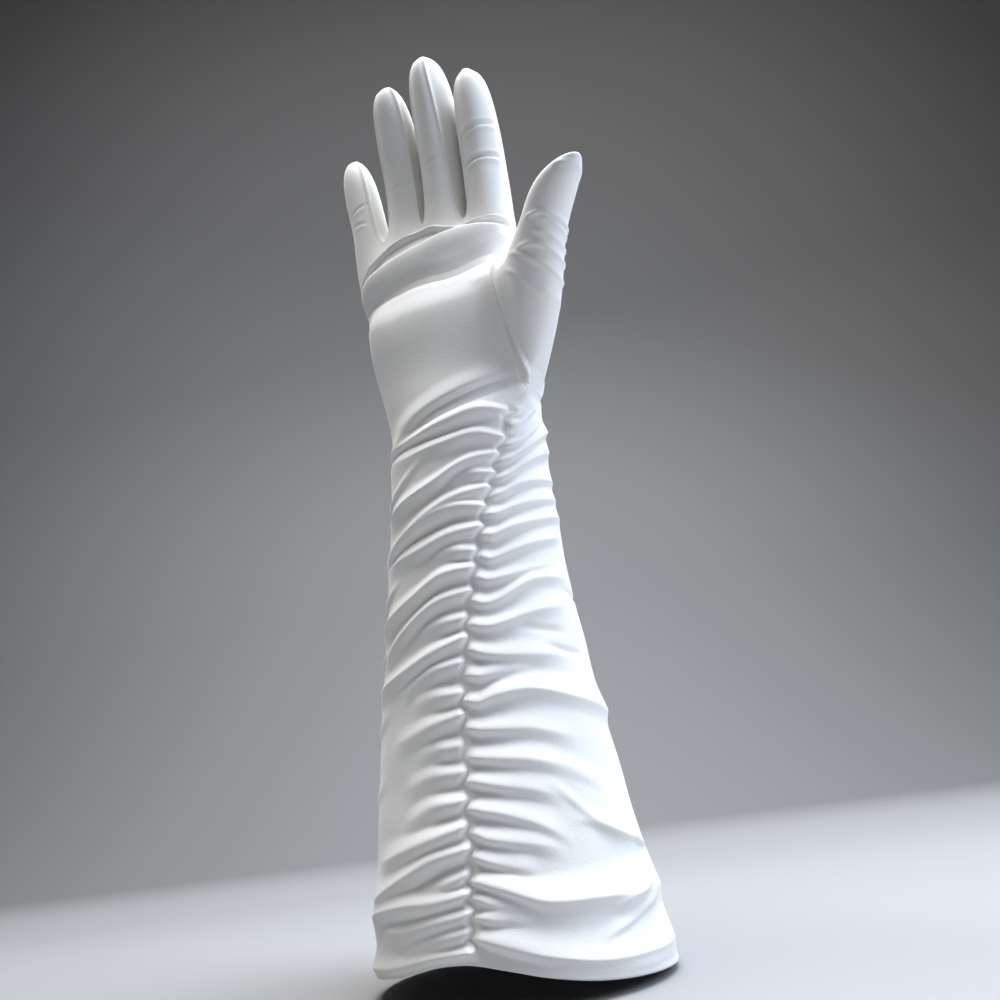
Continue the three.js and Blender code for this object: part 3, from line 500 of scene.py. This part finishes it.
def edges_of(faces, count):
    """Every edge's key and two ends, the edge at each corner, and whether only one face uses it."""
    _, v, after, _ = corners_of(faces)
    keys, edge, uses = np.unique(edge_key(v, after, count), return_inverse=True, return_counts=True)
    return keys, np.stack([keys // count, keys % count], -1), edge, uses == 1


def gather_sum(index, values, count):
    """Sum of the value rows that share an index."""
    return np.stack([np.bincount(index, values[:, i], count) for i in range(values.shape[1])], -1)


def far_ends(ends, points):
    """Sum of the far ends of the edges at each point."""
    return gather_sum(ends.ravel(), points[ends[:, ::-1]].reshape(-1, 3), len(points))


def place_rim(placed, points, rim, weight):
    """Points of an open border placed by themselves, with a weight, and their two neighbours on it."""
    on_rim = np.bincount(rim.ravel(), minlength=len(points)) == 2
    placed[on_rim] = (weight * points[on_rim] + far_ends(rim, points)[on_rim]) / (weight + 2)


def refine(points, faces, pieces, loops):
    """One round of subdivision: a point in each face and on each edge, the old points drawn to their mean."""
    count = len(points)
    face, v, _, before = corners_of(faces)
    centres = gather_sum(face, points[v], len(faces)) / np.bincount(face)[:, None]
    keys, ends, edge, open_edge = edges_of(faces, count)
    middles = points[ends].mean(1)
    edge_centres = gather_sum(edge, centres[face], len(keys))
    made = np.where(open_edge[:, None], middles, (2 * middles + edge_centres) / 4)
    valence = np.bincount(v, minlength=count)[:, None]
    edges_at = np.bincount(ends.ravel(), minlength=count)[:, None]
    near_faces = gather_sum(v, centres[face], count) / np.maximum(valence, 1)
    near_middles = gather_sum(ends.ravel(), np.repeat(middles, 2, 0), count) / np.maximum(edges_at, 1)
    moved = (near_faces + 2 * near_middles + (valence - 3) * points) / np.maximum(valence, 1)
    place_rim(moved, points, ends[open_edge], 6)
    edge_number = lambda a, b: count + np.searchsorted(keys, edge_key(a, b, count))
    quads = np.stack([v, count + edge, count + len(keys) + face, edge_number(before, v)], -1)
    loops = [np.stack([loop, edge_number(loop, np.roll(loop, -1))], -1).ravel() for loop in loops]
    return np.vstack([moved, made, centres]), quads, pieces[face], loops


def limit_points(points, quads):
    """Where each vertex of a quad mesh lies on the smooth surface."""
    count = len(points)
    _, ends, _, open_edge = edges_of(quads, count)
    opposite = gather_sum(quads.ravel(), points[np.roll(quads, 2, 1)].reshape(-1, 3), count)
    n = np.maximum(np.bincount(quads.ravel(), minlength=count), 1)[:, None]
    placed = (n * n * points + 4 * far_ends(ends, points) + opposite) / (n * (n + 5))
    place_rim(placed, points, ends[open_edge], 4)
    return placed


def border_loop(faces):
    """The one open border of some faces, in order, with the faces on its left.

    The walk doubles in each round: the steps so far are followed by as many from their ends.
    """
    _, v, after, _ = corners_of(faces)
    count = faces.max() + 1
    open_side = ~np.isin(v * count + after, after * count + v)
    start, end = v[open_side], after[open_side]
    order = np.argsort(start)
    start, end = start[order], end[order]
    walk, jump = np.zeros(1, int), np.searchsorted(start, end)
    while len(walk) < len(start):
        walk, jump = np.r_[walk, jump[walk]], jump[jump]
    return start[walk[: len(start)]]


def vertex_normals(points, quads):
    """Mean direction of the faces round each vertex."""
    a, b, c, d = points[quads.T]
    normal = np.cross(c - a, d - b)
    return unit(gather_sum(quads.ravel(), np.repeat(normal, 4, 0), len(points)))


def mean_radius(z):
    """Radius that turns an angle round the section into a distance along the cloth."""
    return (column(SECTIONS, 2, z) + column(SECTIONS, 3, z)) / 2


def sleeve_angles(row_z, count):
    """Angles of the sleeve's columns: even at the wrist, then crowded to the thread by a hyperbolic sine."""
    even = -180 + 360 * np.arange(count) / count
    front = count // 2
    share = np.arange(front + 1) / front
    thread, radius = column(GATHER, 1, row_z), mean_radius(row_z)
    low = np.radians(-180 - thread) * radius / CROWDING
    high = np.radians(0 - thread) * radius / CROWDING
    span = np.arcsinh(high) - np.arcsinh(low)
    crowded = thread + np.degrees(CROWDING / radius * np.sinh(np.arcsinh(low) + span * share))
    drawn = np.broadcast_to(even, (len(row_z), count)).copy()
    mix = smooth(WRIST_Z - row_z, 0, DRAWN_OVER)
    drawn[:, : front + 1] += (crowded - drawn[:, : front + 1]) * mix
    return drawn


def sleeve_surface(row_z, angles):
    """Smooth sleeve: each row climbs or falls away from the thread, and the hem lifts over the palm side."""
    turn = np.radians(angles - column(GATHER, 1, row_z))
    radius = mean_radius(row_z)
    slant = np.where(turn < 0, column(SLANTS, 1, row_z), column(SLANTS, 2, row_z))
    slant = slant * np.clip((WRIST_Z - row_z) / SLANT_ZONE, 0, 1)
    lift = np.clip(1 - row_z / HEM_ZONE, 0, 1) * column(HEM_LIFTS, 1, turn * radius)
    z = row_z + slant * radius * np.abs(np.sin(turn)) + lift
    angle = np.radians(angles)
    return section_point(z, np.cos(angle), np.where(np.sin(angle) < 0, -1, 1))


def add_sleeve(points, quads, pieces, wrist, row_z, outward):
    """Sleeve rows added under the hand's open ring, each moved outward from the smooth surface."""
    count = len(wrist)
    angles = sleeve_angles(row_z[:, None], count)
    grid = sleeve_surface(row_z[:, None], angles)
    turn = np.radians(angles)
    grid[..., 0] += outward[:, None] * np.cos(turn)
    grid[..., 1] += outward[:, None] * np.sin(turn)
    index = len(points) + np.arange(grid.shape[0] * count).reshape(-1, count)
    index = np.vstack([index, wrist])
    lower, upper = index[:-1], index[1:]
    after = np.roll(np.arange(count), -1)
    faces = np.stack([lower, lower[:, after], upper[:, after], upper], -1).reshape(-1, 4)
    names = np.tile(np.where(np.arange(count) < count // 2, PALM, BACK), len(lower))
    return np.vstack([points, grid.reshape(-1, 3)]), np.vstack([quads, faces]), np.r_[pieces, names], index


def bump(d, above, below):
    """A rounded ridge across a line: full on it, and nothing at its width above and its width below."""
    return np.where(d > 0, smooth(np.clip(d / above, 0, 1), 1, 0), smooth(np.clip(-d / below, 0, 1), 1, 0))


def pleat(d, above, below, taut):
    """A fold on a line: rounded like a bump where the cloth is loose, a sharp crest where it is taut.

    The rounded form is an S of the distance, the sharp one a power of it; taut is the sharp one's share.
    """
    share = np.clip(1 - np.abs(d) / np.where(d > 0, above, below), 0, 1)
    return smooth(share, 0, 1) * (1 - taut) + share**TAUT_POWER * taut


def braid_line(z):
    """Where the folds of both sides meet: nearer the thumb at a left crest, and back at a right one."""
    left, right = LEFT_FOLDS[:, 0], RIGHT_FOLDS[:, 0] + BRAID_RISE
    swing_left = BRAID_LEFT + BRAID_CHANGE * np.sin(BRAID_BEATS[0] * np.arange(len(left)))
    swing_right = BRAID_RIGHT + BRAID_CHANGE * np.sin(BRAID_BEATS[1] * np.arange(len(right)))
    at = np.r_[left, right]
    order = np.argsort(at)
    return np.interp(z, at[order], np.r_[swing_left, swing_right][order]) * (1 - smooth(z, *BRAID_END))


def gathered_height(s, z):
    """Folds of both sides of the thread: for each, a pleat along its own line, steep below and gentle above.

    The pleats of a side are blended by the fourth root of the sum of their fourth powers.
    """
    away = s - braid_line(z)
    height = np.zeros_like(s)
    left = (-s, away < 0, LEFT_FOLDS, LEFT_KNOTS, TIP_LEFT, ABOVE_LEFT, BELOW_LEFT, 0.0)
    right = (s, away >= 0, RIGHT_FOLDS, RIGHT_KNOTS, TIP_RIGHT, ABOVE_RIGHT, BELOW_RIGHT, CREST_RISE)
    for out, mine, table, knots, tip, above, below, rise in (left, right):
        chosen = np.flatnonzero(mine & (z < FOLDS_END[1]))
        d_out = np.clip(out[chosen], 0, None)
        taut = TAUT_SHARE * smooth(d_out, *TAUT_ZONE)
        total = np.zeros(len(chosen))
        wider = 1 + FOLD_GROWTH * d_out
        for row in table:
            crest = column(np.stack([knots, row[: len(knots)]], -1), 1, d_out) + rise
            near, far, reach = row[len(knots) :]
            size = near + (far - near) * smooth(d_out, FAR_FROM, FAR_SHARE * reach)
            size = size * (1 - smooth(d_out, REACH_ZONE[0] * reach, REACH_ZONE[1] * reach))
            total += (size * pleat(z[chosen] - crest, above * wider, below * wider, taut)) ** BLEND
        height[chosen] = total ** (1 / BLEND) * (1 - np.exp(-((away[chosen] / tip) ** 2)))
    groove = GROOVE_DEPTH * np.exp(-((away / GROOVE_WIDTH) ** 2))
    groove = groove * (1 - smooth(z, *GROOVE_END)) * smooth(z, *GROOVE_FOOT)
    return height * (1 - smooth(z, *FOLDS_END)) - groove


def bowed_folds(table, x, z, tail=None):
    """Ridges on a table's bowed lines over x, each dying out at its ends, or over a tail past its far end."""
    height = np.zeros_like(z)
    for row in table:
        knots = row[:6].reshape(3, 2)
        knots = knots[np.argsort(knots[:, 0])]
        low, high = knots[0, 0], knots[2, 0]
        size, above, below = row[6:]
        edge = FADE * (high - low)
        start, end = tail or (-edge, edge / 2)
        inside = smooth(x, low - edge / 2, low + edge) * (1 - smooth(x, high + start, high + end))
        height += size * inside * bump(z - column(knots, 1, x), above, below)
    return height


def ripple(p, size):
    """Soft unevenness of worn cloth: a few crossed waves of different lengths."""
    x, y, z = p.T / size
    along = np.sin(1.7 * x + 0.9 * z + 1.3 * np.sin(0.7 * z + y))
    across = np.sin(2.3 * z - 1.1 * x + 1.7 * np.sin(0.9 * x - y))
    return 0.5 * (along + across) + 0.35 * np.sin(3.9 * z + 2.1 * y + 2.0 * np.sin(1.1 * x + 0.6 * z))


def palm_height(p, normal):
    """Cross folds of the palm, its soft swell and the fingers' creases, where the cloth faces forward."""
    x, z = p[:, 0], p[:, 2]
    height = np.zeros(len(p))
    for i, (drop, size, above, below) in enumerate(PALM_SHAPES):
        height += size * bump(z - column(PALM_LINES, i + 1, x) + drop, above, below)
    hollow, crest = column(PALM_LINES, 3, x), column(PALM_LINES, 4, x)
    swell = SWELL * bump(z - crest, hollow - crest, SWELL_BELOW) * smooth(x, *SWELL_EDGE)
    height += swell * (1 - SWELL_EASE * smooth(x, *SWELL_EASE_ZONE))
    beside = np.where(z > INDEX_FROM, 1 - smooth(x, *INDEX_EDGE), 1 - smooth(x, *THUMB_EDGE))
    height *= smooth(x, *PALM_EDGE) * beside
    for x0, z0, x1, z1, rise, depth, half in CREASES:
        t = np.clip((x - x0) / (x1 - x0), 0, 1)
        d = z - (z0 + (z1 - z0) * t + rise * 4 * t * (1 - t))
        inside = smooth(x, x0 - 1, x0 + 4) * (1 - smooth(x, x1 - 4, x1 + 1))
        lips = sum(share * np.exp(-(((d - side * LIP_AWAY) / LIP_WIDTH) ** 2)) for share, side in CREASE_LIPS)
        height += inside * depth * (lips - np.exp(-((d / half) ** 2)))
    return height * smooth(-normal[:, 1], *PALM_FACING)


def dent_height(p):
    """Dents: each a soft hollow round a short line, its depth a bell of the distance from that line."""
    height = np.zeros(len(p))
    for row in DENTS:
        start, end, radius, depth = row[:3], row[3:6], row[6], row[7]
        along = np.clip((p - start) @ (end - start) / ((end - start) @ (end - start)), 0, 1)
        away = np.linalg.norm(p - start - along[:, None] * (end - start), axis=1)
        height -= depth * np.exp(-((away / radius) ** 2))
    return height


def section_angle(p):
    """Angle of a point round its section, in degrees, from +X towards the back."""
    x, y, z = p.T
    depth = np.where(y < 0, column(SECTIONS, 3, z), column(SECTIONS, 4, z))
    return np.degrees(np.arctan2(y / depth, (x - column(SECTIONS, 1, z)) / column(SECTIONS, 2, z)))


def thread_distance(p):
    """Distance round the cloth from the thread, minus towards the little finger's side."""
    turn = section_angle(p) - column(GATHER, 1, p[:, 2])
    turn = (turn + 180) % 360 - 180
    return np.radians(turn) * mean_radius(p[:, 2])


def hand_mesh(levels):
    """The hand's smooth surface after rounds of subdivision, the pieces of its faces and its open ring."""
    points, faces, pieces, wrist = build_cage()
    loops = [wrist]
    for _ in range(levels):
        points, faces, pieces, loops = refine(points, faces, pieces, loops)
    return limit_points(points, faces), faces, pieces, loops[0]


def border_keys(quads, count):
    """Keys of the edges that only one face uses."""
    keys, _, _, open_edge = edges_of(quads, count)
    return keys[open_edge]


def near_edges(points, a, b, most):
    """Distance to the nearest of some edges, for points within a box round them, and most elsewhere."""
    distance = np.full(len(points), most, float)
    low, high = np.minimum(a, b).min(0) - most, np.maximum(a, b).max(0) + most
    chosen = np.flatnonzero(((points > low) & (points < high)).all(1))
    run = b - a
    length = np.maximum((run**2).sum(-1), 1e-9)
    for block in np.array_split(chosen, max(1, len(chosen) // BLOCK)):
        away = points[block][:, None] - a
        t = np.clip((away * run).sum(-1) / length, 0, 1)
        distance[block] = np.sqrt(((away - run * t[..., None]) ** 2).sum(-1).min(-1))
    return np.minimum(distance, most)


def displaced_outside():
    """Outside of the whole glove: the smooth surface moved along its normals by folds, creases and seams."""
    points, quads, pieces, wrist = hand_mesh(FINE)
    hand_count = len(points)
    rows = np.linspace(0, WRIST_Z, OUTER_ROWS + 1)[:-1]
    inward = -(1 - np.sqrt(1 - np.clip(1 - rows / HEM_ROUND, 0, 1) ** 2)) * HEM_ROUND
    points, quads, pieces, grid = add_sleeve(points, quads, pieces, wrist, rows, inward)
    normals = vertex_normals(points, quads)
    s, z = thread_distance(points), points[:, 2]
    folds = gathered_height(s, z) + bowed_folds(LOOSE_FOLDS, s, z)
    near_hem = smooth(z - column(HEM_LIFTS, 1, s), *HEM_FADE)
    soft = ripple(points, RIPPLE_LENGTH) * RIPPLE_HEIGHT * near_hem
    sleeve_like = 1 - smooth(z, *SLEEVE_END)
    height = folds * sleeve_like * near_hem + soft * (HAND_RIPPLE + (1 - HAND_RIPPLE) * sleeve_like)
    hand = points[:hand_count]
    height[:hand_count] += palm_height(hand, normals[:hand_count]) + dent_height(hand)
    thumb = np.unique(quads[pieces == THUMB_PIECE])
    x, y, z = points[thumb].T
    height[thumb] += bowed_folds(THUMB_FOLDS, x, z, THUMB_TAIL) * (1 - smooth(y, *THUMB_FRONT))
    height += wrist_rounding(points)
    height[:hand_count] += seam_height(points, quads, pieces, hand_count)
    moved = points + normals * height[:, None]
    moved[:, 2] -= SAG * np.maximum(0, folds) * sleeve_like * near_hem
    return moved, quads, pieces, grid


def wrist_rounding(p):
    """The bend at the wrist rounded: the gap between a corner and the parabola that touches its sides."""
    d = np.minimum(np.abs(p[:, 2] - WRIST_Z), WRIST_ROUND)
    gap = (WRIST_ROUND**2 + d**2) / (2 * WRIST_ROUND) - d
    return -WRIST_BEND / 2 * gap * np.clip(p[:, 1] / WRIST_BACK, 0, 1)


def seam_distance(points, quads, pieces, pair, hand_count):
    """Distance of the hand's points from the edges that two pieces share there."""
    one, other = (border_keys(quads[pieces == piece], len(points)) for piece in pair)
    shared = np.intersect1d(one, other)
    ends = np.stack([shared // len(points), shared % len(points)])
    a, b = ends[:, (ends < hand_count).all(0)]
    return near_edges(points[:hand_count], points[a], points[b], SEAM_REACH)


def seam_height(points, quads, pieces, hand_count):
    """Raised seams of the hand: ridges, and at the thumb a lap, its crest beside its groove.

    Each is a bell of the distance from the border that two pieces share, and dies out at the tips.
    """
    hand = points[:hand_count]
    tips = np.vstack([FINGERS[:, 2:5], THUMB_TIP])
    from_tip = np.linalg.norm(hand[:, None] - tips, axis=2).min(1)
    on_thumb = np.zeros(hand_count, bool)
    on_thumb[np.unique(quads[pieces == THUMB_PIECE])] = True
    ridge, lap = np.zeros((2, hand_count))
    for size, pairs in RIDGES:
        for pair in pairs:
            d = seam_distance(points, quads, pieces, pair, hand_count)
            ridge = np.maximum(ridge, size * np.exp(-((d / RIDGE_WIDTH) ** 2)))
    for share, pair in LAPS:
        d = seam_distance(points, quads, pieces, pair, hand_count)
        d = np.where(on_thumb, d, -d)
        profile = sum(size * np.exp(-(((d - at) / width) ** 2)) for size, at, width in LAP_SHAPES)
        profile *= share * (1 - smooth(hand[:, 2], *LAP_TOP))
        lap = np.where(np.abs(profile) > np.abs(lap), profile, lap)
    ridge += lap * smooth(np.linalg.norm(hand - LAP_FOOT, axis=1), *LAP_FOOT_ZONE)
    return ridge * smooth(from_tip, *SEAM_TIP_ZONE)


def plain_inside():
    """Inside of the whole glove, coarser: the smooth surface moved in by the cloth's thickness."""
    points, quads, pieces, wrist = hand_mesh(COARSE)
    points = points - vertex_normals(points, quads) * CLOTH
    rows = np.linspace(0, WRIST_Z, INNER_ROWS + 1)[:-1]
    depth = CLOTH + (INNER_DEPTH - CLOTH) * (1 - smooth(rows, WALL_TOP, WRIST_Z))
    return add_sleeve(points, quads, pieces, wrist, rows, -depth)


def draw_in(points, loop, quads):
    """Border points moved into their piece by half the seam's gap, but not at the hem."""
    along = unit(points[np.roll(loop, -1)] - points[np.roll(loop, 1)])
    inward = unit(np.cross(vertex_normals(points, quads)[loop], along))
    inward[(points[loop, 2] < HEM_TOP) & (np.abs(along[:, 2]) < LEVEL)] = 0
    moved = points.copy()
    moved[loop] += inward * (SEAM_GAP / 2)
    return moved


def zip_loops(outer_at, inner_at):
    """Triangles between two closed loops from the places of their points along one shared scale.

    Each outer edge takes the inner point nearest its middle, each inner edge the place where that changes.
    """
    outer_count, inner_count = len(outer_at) - 1, len(inner_at) - 1
    middle, change = (outer_at[1:] + outer_at[:-1]) / 2, (inner_at[1:] + inner_at[:-1]) / 2
    nearest, first = np.searchsorted(change, middle), np.searchsorted(middle, change)
    outer, inner = np.arange(outer_count), np.arange(inner_count)
    on_outer = [(outer + 1) % outer_count, outer, nearest % inner_count + outer_count]
    on_inner = [inner + outer_count, (inner + 1) % inner_count + outer_count, first % outer_count]
    return np.vstack([np.stack(on_outer, -1), np.stack(on_inner, -1)])


def loop_places(loop, anchors):
    """Place of each loop point on the shared scale: whole numbers at the anchors, even steps between them."""
    stops = np.flatnonzero(np.isin(loop, anchors))
    return np.interp(np.arange(len(loop) + 1), np.r_[stops, len(loop)], np.arange(len(stops) + 1))


def cloth_surface(number, outside, inside):
    """One piece: its outside faces, its inside faces turned round and a rim between the two borders.

    Gives the vertices, the corners of all faces in a row, the number of corners of each, and both borders.
    """
    vertices, shapes, borders, places = [], [], [], []
    inner_points, inner_quads, inner_pieces, inner_grid = inside
    anchors = border_loop(inner_quads[inner_pieces == number])
    anchors = anchors[anchors < inner_grid[0, 0]]
    for points, quads, pieces, grid in (outside, inside):
        faces = quads[pieces == number]
        loop = border_loop(faces)
        loop = np.roll(loop, -int(np.flatnonzero(loop == anchors.min())[0]))
        hem_corners = [grid[0, 0], grid[0, grid.shape[1] // 2]] if number in (PALM, BACK) else []
        places.append(loop_places(loop, np.r_[anchors, hem_corners]))
        used, first = np.unique(faces), sum(map(len, vertices))
        vertices.append(draw_in(points, loop, faces)[used])
        shapes.append(np.searchsorted(used, faces) + first)
        borders.append(np.searchsorted(used, loop) + first)
    rim = np.concatenate(borders)[zip_loops(*places)]
    corners = np.r_[shapes[0].ravel(), shapes[1][:, ::-1].ravel(), rim.ravel()]
    sizes = np.r_[np.full(len(shapes[0]) + len(shapes[1]), 4), np.full(len(rim), 3)]
    return np.vstack(vertices), corners, sizes, borders


def add_object(name, data):
    """A new object in the scene."""
    made = bpy.data.objects.new(name, data)
    bpy.context.collection.objects.link(made)
    return made


def set_inputs(node, values):
    """Values of a node's inputs, by their names."""
    for socket, value in values.items():
        node.inputs[socket].default_value = value


def cloth_piece(name, vertices, corners, sizes, borders):
    """A Blender object of one piece, smooth but for the edges along its two borders."""
    mesh = bpy.data.meshes.new(name)
    mesh.vertices.add(len(vertices))
    mesh.vertices.foreach_set("co", (vertices * MM).astype(np.float32).ravel())
    mesh.loops.add(len(corners))
    mesh.loops.foreach_set("vertex_index", corners.astype(np.int32))
    mesh.polygons.add(len(sizes))
    mesh.polygons.foreach_set("loop_start", np.r_[0, np.cumsum(sizes)[:-1]].astype(np.int32))
    mesh.polygons.foreach_set("loop_total", sizes.astype(np.int32))
    mesh.update(calc_edges=True)
    mesh.validate()
    mesh.polygons.foreach_set("use_smooth", np.ones(len(sizes), bool))
    for border in borders:
        sharpen(mesh, border)
    return add_object(name + "_cloth", mesh)


def sharpen(mesh, loop):
    """Edges along a loop made sharp, so that the cloth's face and its cut edge are shaded apart."""
    count = len(mesh.vertices)
    ends = np.empty(len(mesh.edges) * 2, np.int32)
    mesh.edges.foreach_get("vertices", ends)
    ends = ends.reshape(-1, 2).astype(np.int64)
    on_loop = np.isin(edge_key(ends[:, 0], ends[:, 1], count), edge_key(loop, np.roll(loop, -1), count))
    sharp = np.empty(len(mesh.edges), bool)
    mesh.edges.foreach_get("use_edge_sharp", sharp)
    mesh.edges.foreach_set("use_edge_sharp", sharp | on_loop)


def cotton(name, base, shade):
    """Fine matte cotton knit: an uneven near-white, a soft sheen and a fine grain in the surface."""
    material = bpy.data.materials.new(name)
    material.use_nodes = True
    tree = material.node_tree
    tree.nodes.clear()
    link = tree.links.new
    kinds = ("OutputMaterial", "BsdfPrincipled", "TexCoord", "TexNoise", "TexNoise", "Mix", "Bump")
    out, shader, place, cloud, grain, mix, relief = (tree.nodes.new("ShaderNode" + kind) for kind in kinds)
    mix.data_type = "RGBA"
    set_inputs(cloud, {"Scale": 18, "Detail": 3})
    set_inputs(grain, {"Scale": 1300, "Detail": 3})
    set_inputs(mix, {"A": (*base, 1), "B": (*shade, 1)})
    set_inputs(shader, {"Roughness": 0.82, "Specular IOR Level": 0.25})
    set_inputs(shader, {"Sheen Weight": 0.35, "Sheen Roughness": 0.5})
    set_inputs(relief, {"Strength": 0.18, "Distance": 0.0004})
    link(place.outputs["Object"], cloud.inputs["Vector"])
    link(place.outputs["Object"], grain.inputs["Vector"])
    link(cloud.outputs["Fac"], mix.inputs["Factor"])
    link(mix.outputs["Result"], shader.inputs["Base Color"])
    link(grain.outputs["Fac"], relief.inputs["Height"])
    link(relief.outputs["Normal"], shader.inputs["Normal"])
    link(shader.outputs["BSDF"], out.inputs["Surface"])
    return material


glove_cotton = cotton("glove_cotton", (0.87, 0.86, 0.83), (0.80, 0.785, 0.755))
# The fourchette strips are the same cotton as the rest of the glove: their darker, greyer colour is painted
# shade for the shadow in the gaps between the fingers.
strip_painted_shade = cotton("strip_painted_shade", (0.74, 0.73, 0.69), (0.69, 0.675, 0.63))

outside = displaced_outside()
inside = plain_inside()
for number, name in enumerate(PIECES):
    piece = cloth_piece(name, *cloth_surface(number, outside, inside))
    # The fourchettes take the darker material, whose colour is painted shade for the gaps between the
    # fingers.
    strip = name.startswith("fourchette")
    piece.data.materials.append(strip_painted_shade if strip else glove_cotton)
    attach(piece, "root")
    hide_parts(name)


def backdrop():
    """A sheet with one profile swept sideways: level, a quarter circle, then upright."""
    turn = np.linspace(0, np.pi / 2, 25)
    bend = np.stack([FLOOR_BACK + CURVE * np.sin(turn), CURVE * (1 - np.cos(turn))], -1)
    profile = np.vstack([[[FLOOR_FRONT, 0]], bend, [[FLOOR_BACK + CURVE, WALL]]])
    sides = np.tile([-FLOOR_HALF, FLOOR_HALF], len(profile))
    vertices = np.column_stack([sides, np.repeat(profile, 2, 0) - [0, FLOOR_DROP]])
    rows = np.arange(len(profile) - 1) * 2
    faces = np.stack([rows, rows + 1, rows + 3, rows + 2], -1)
    mesh = bpy.data.meshes.new("backdrop")
    mesh.from_pydata(vertices.tolist(), [], faces.tolist())
    mesh.polygons.foreach_set("use_smooth", np.ones(len(faces), bool))
    floor = add_object("backdrop", mesh)
    floor.rotation_euler = (0, 0, HEADING)
    paint = bpy.data.materials.new("backdrop_paint")
    paint.use_nodes = True
    shader = paint.node_tree.nodes["Principled BSDF"]
    set_inputs(shader, {"Base Color": (0.32, 0.32, 0.322, 1), "Roughness": 0.9})
    mesh.materials.append(paint)
    return floor


backdrop()


def area_light(name, place, target, size, power, colour):
    """A square soft light that faces a point."""
    light = bpy.data.lights.new(name, "AREA")
    light.size = size
    light.energy = power
    light.color = colour
    holder = add_object(name, light)
    holder.location = place
    holder.rotation_euler = (Vector(target) - Vector(place)).to_track_quat("-Z", "Y").to_euler()


forward = np.array([-np.sin(HEADING) * np.cos(TILT), np.cos(HEADING) * np.cos(TILT), np.sin(TILT)])
level_right = np.array([np.cos(HEADING), np.sin(HEADING), 0])
level_up = np.cross(level_right, forward)
right = level_right * np.cos(ROLL) - level_up * np.sin(ROLL)
up = level_right * np.sin(ROLL) + level_up * np.cos(ROLL)


def from_eye(sideways, upwards, ahead):
    """A point in the camera's directions from the glove's middle."""
    return MIDDLE + level_right * sideways + np.array([0, 0, 1]) * upwards + forward * ahead


area_light("overhead", from_eye(-0.1, 0.95, -0.05), (0, 0, 0.2), 0.5, 14.6, (1.0, 0.985, 0.965))
area_light("window_high", from_eye(0.35, 0.9, -0.1), (0, 0, 0.2), 0.5, 12.2, (0.88, 0.98, 1.13))
area_light("behind", from_eye(0.1, 0.9, 0.3), (0, 0, 0.2), 0.5, 2.0, (0.92, 0.98, 1.08))
area_light("window_side", from_eye(0.7, 0.38, -0.23), (0.03, -0.02, 0.21), 0.45, 4.1, (0.84, 0.97, 1.18))
area_light("wall", (-0.15, 0.32, 1.35), (-0.59, 1.22, 1.35), 2.4, 11.0, (1.0, 1.0, 1.0))

world = bpy.data.worlds.new("room")
bpy.context.scene.world = world
world.use_nodes = True
set_inputs(world.node_tree.nodes["Background"], {"Color": (0.93, 0.95, 1.0, 1), "Strength": 0.02})

camera_data = bpy.data.cameras.new("camera")
camera_data.sensor_width = SENSOR
camera_data.lens = SENSOR * FOCAL_SHARE
camera_data.clip_start = 0.01
camera = add_object("camera", camera_data)
camera.matrix_world = Matrix([*np.stack([right, up, -forward, EYE], -1).tolist(), [0, 0, 0, 1]])
bpy.context.scene.camera = camera
bpy.context.scene.view_settings.view_transform = "Standard"
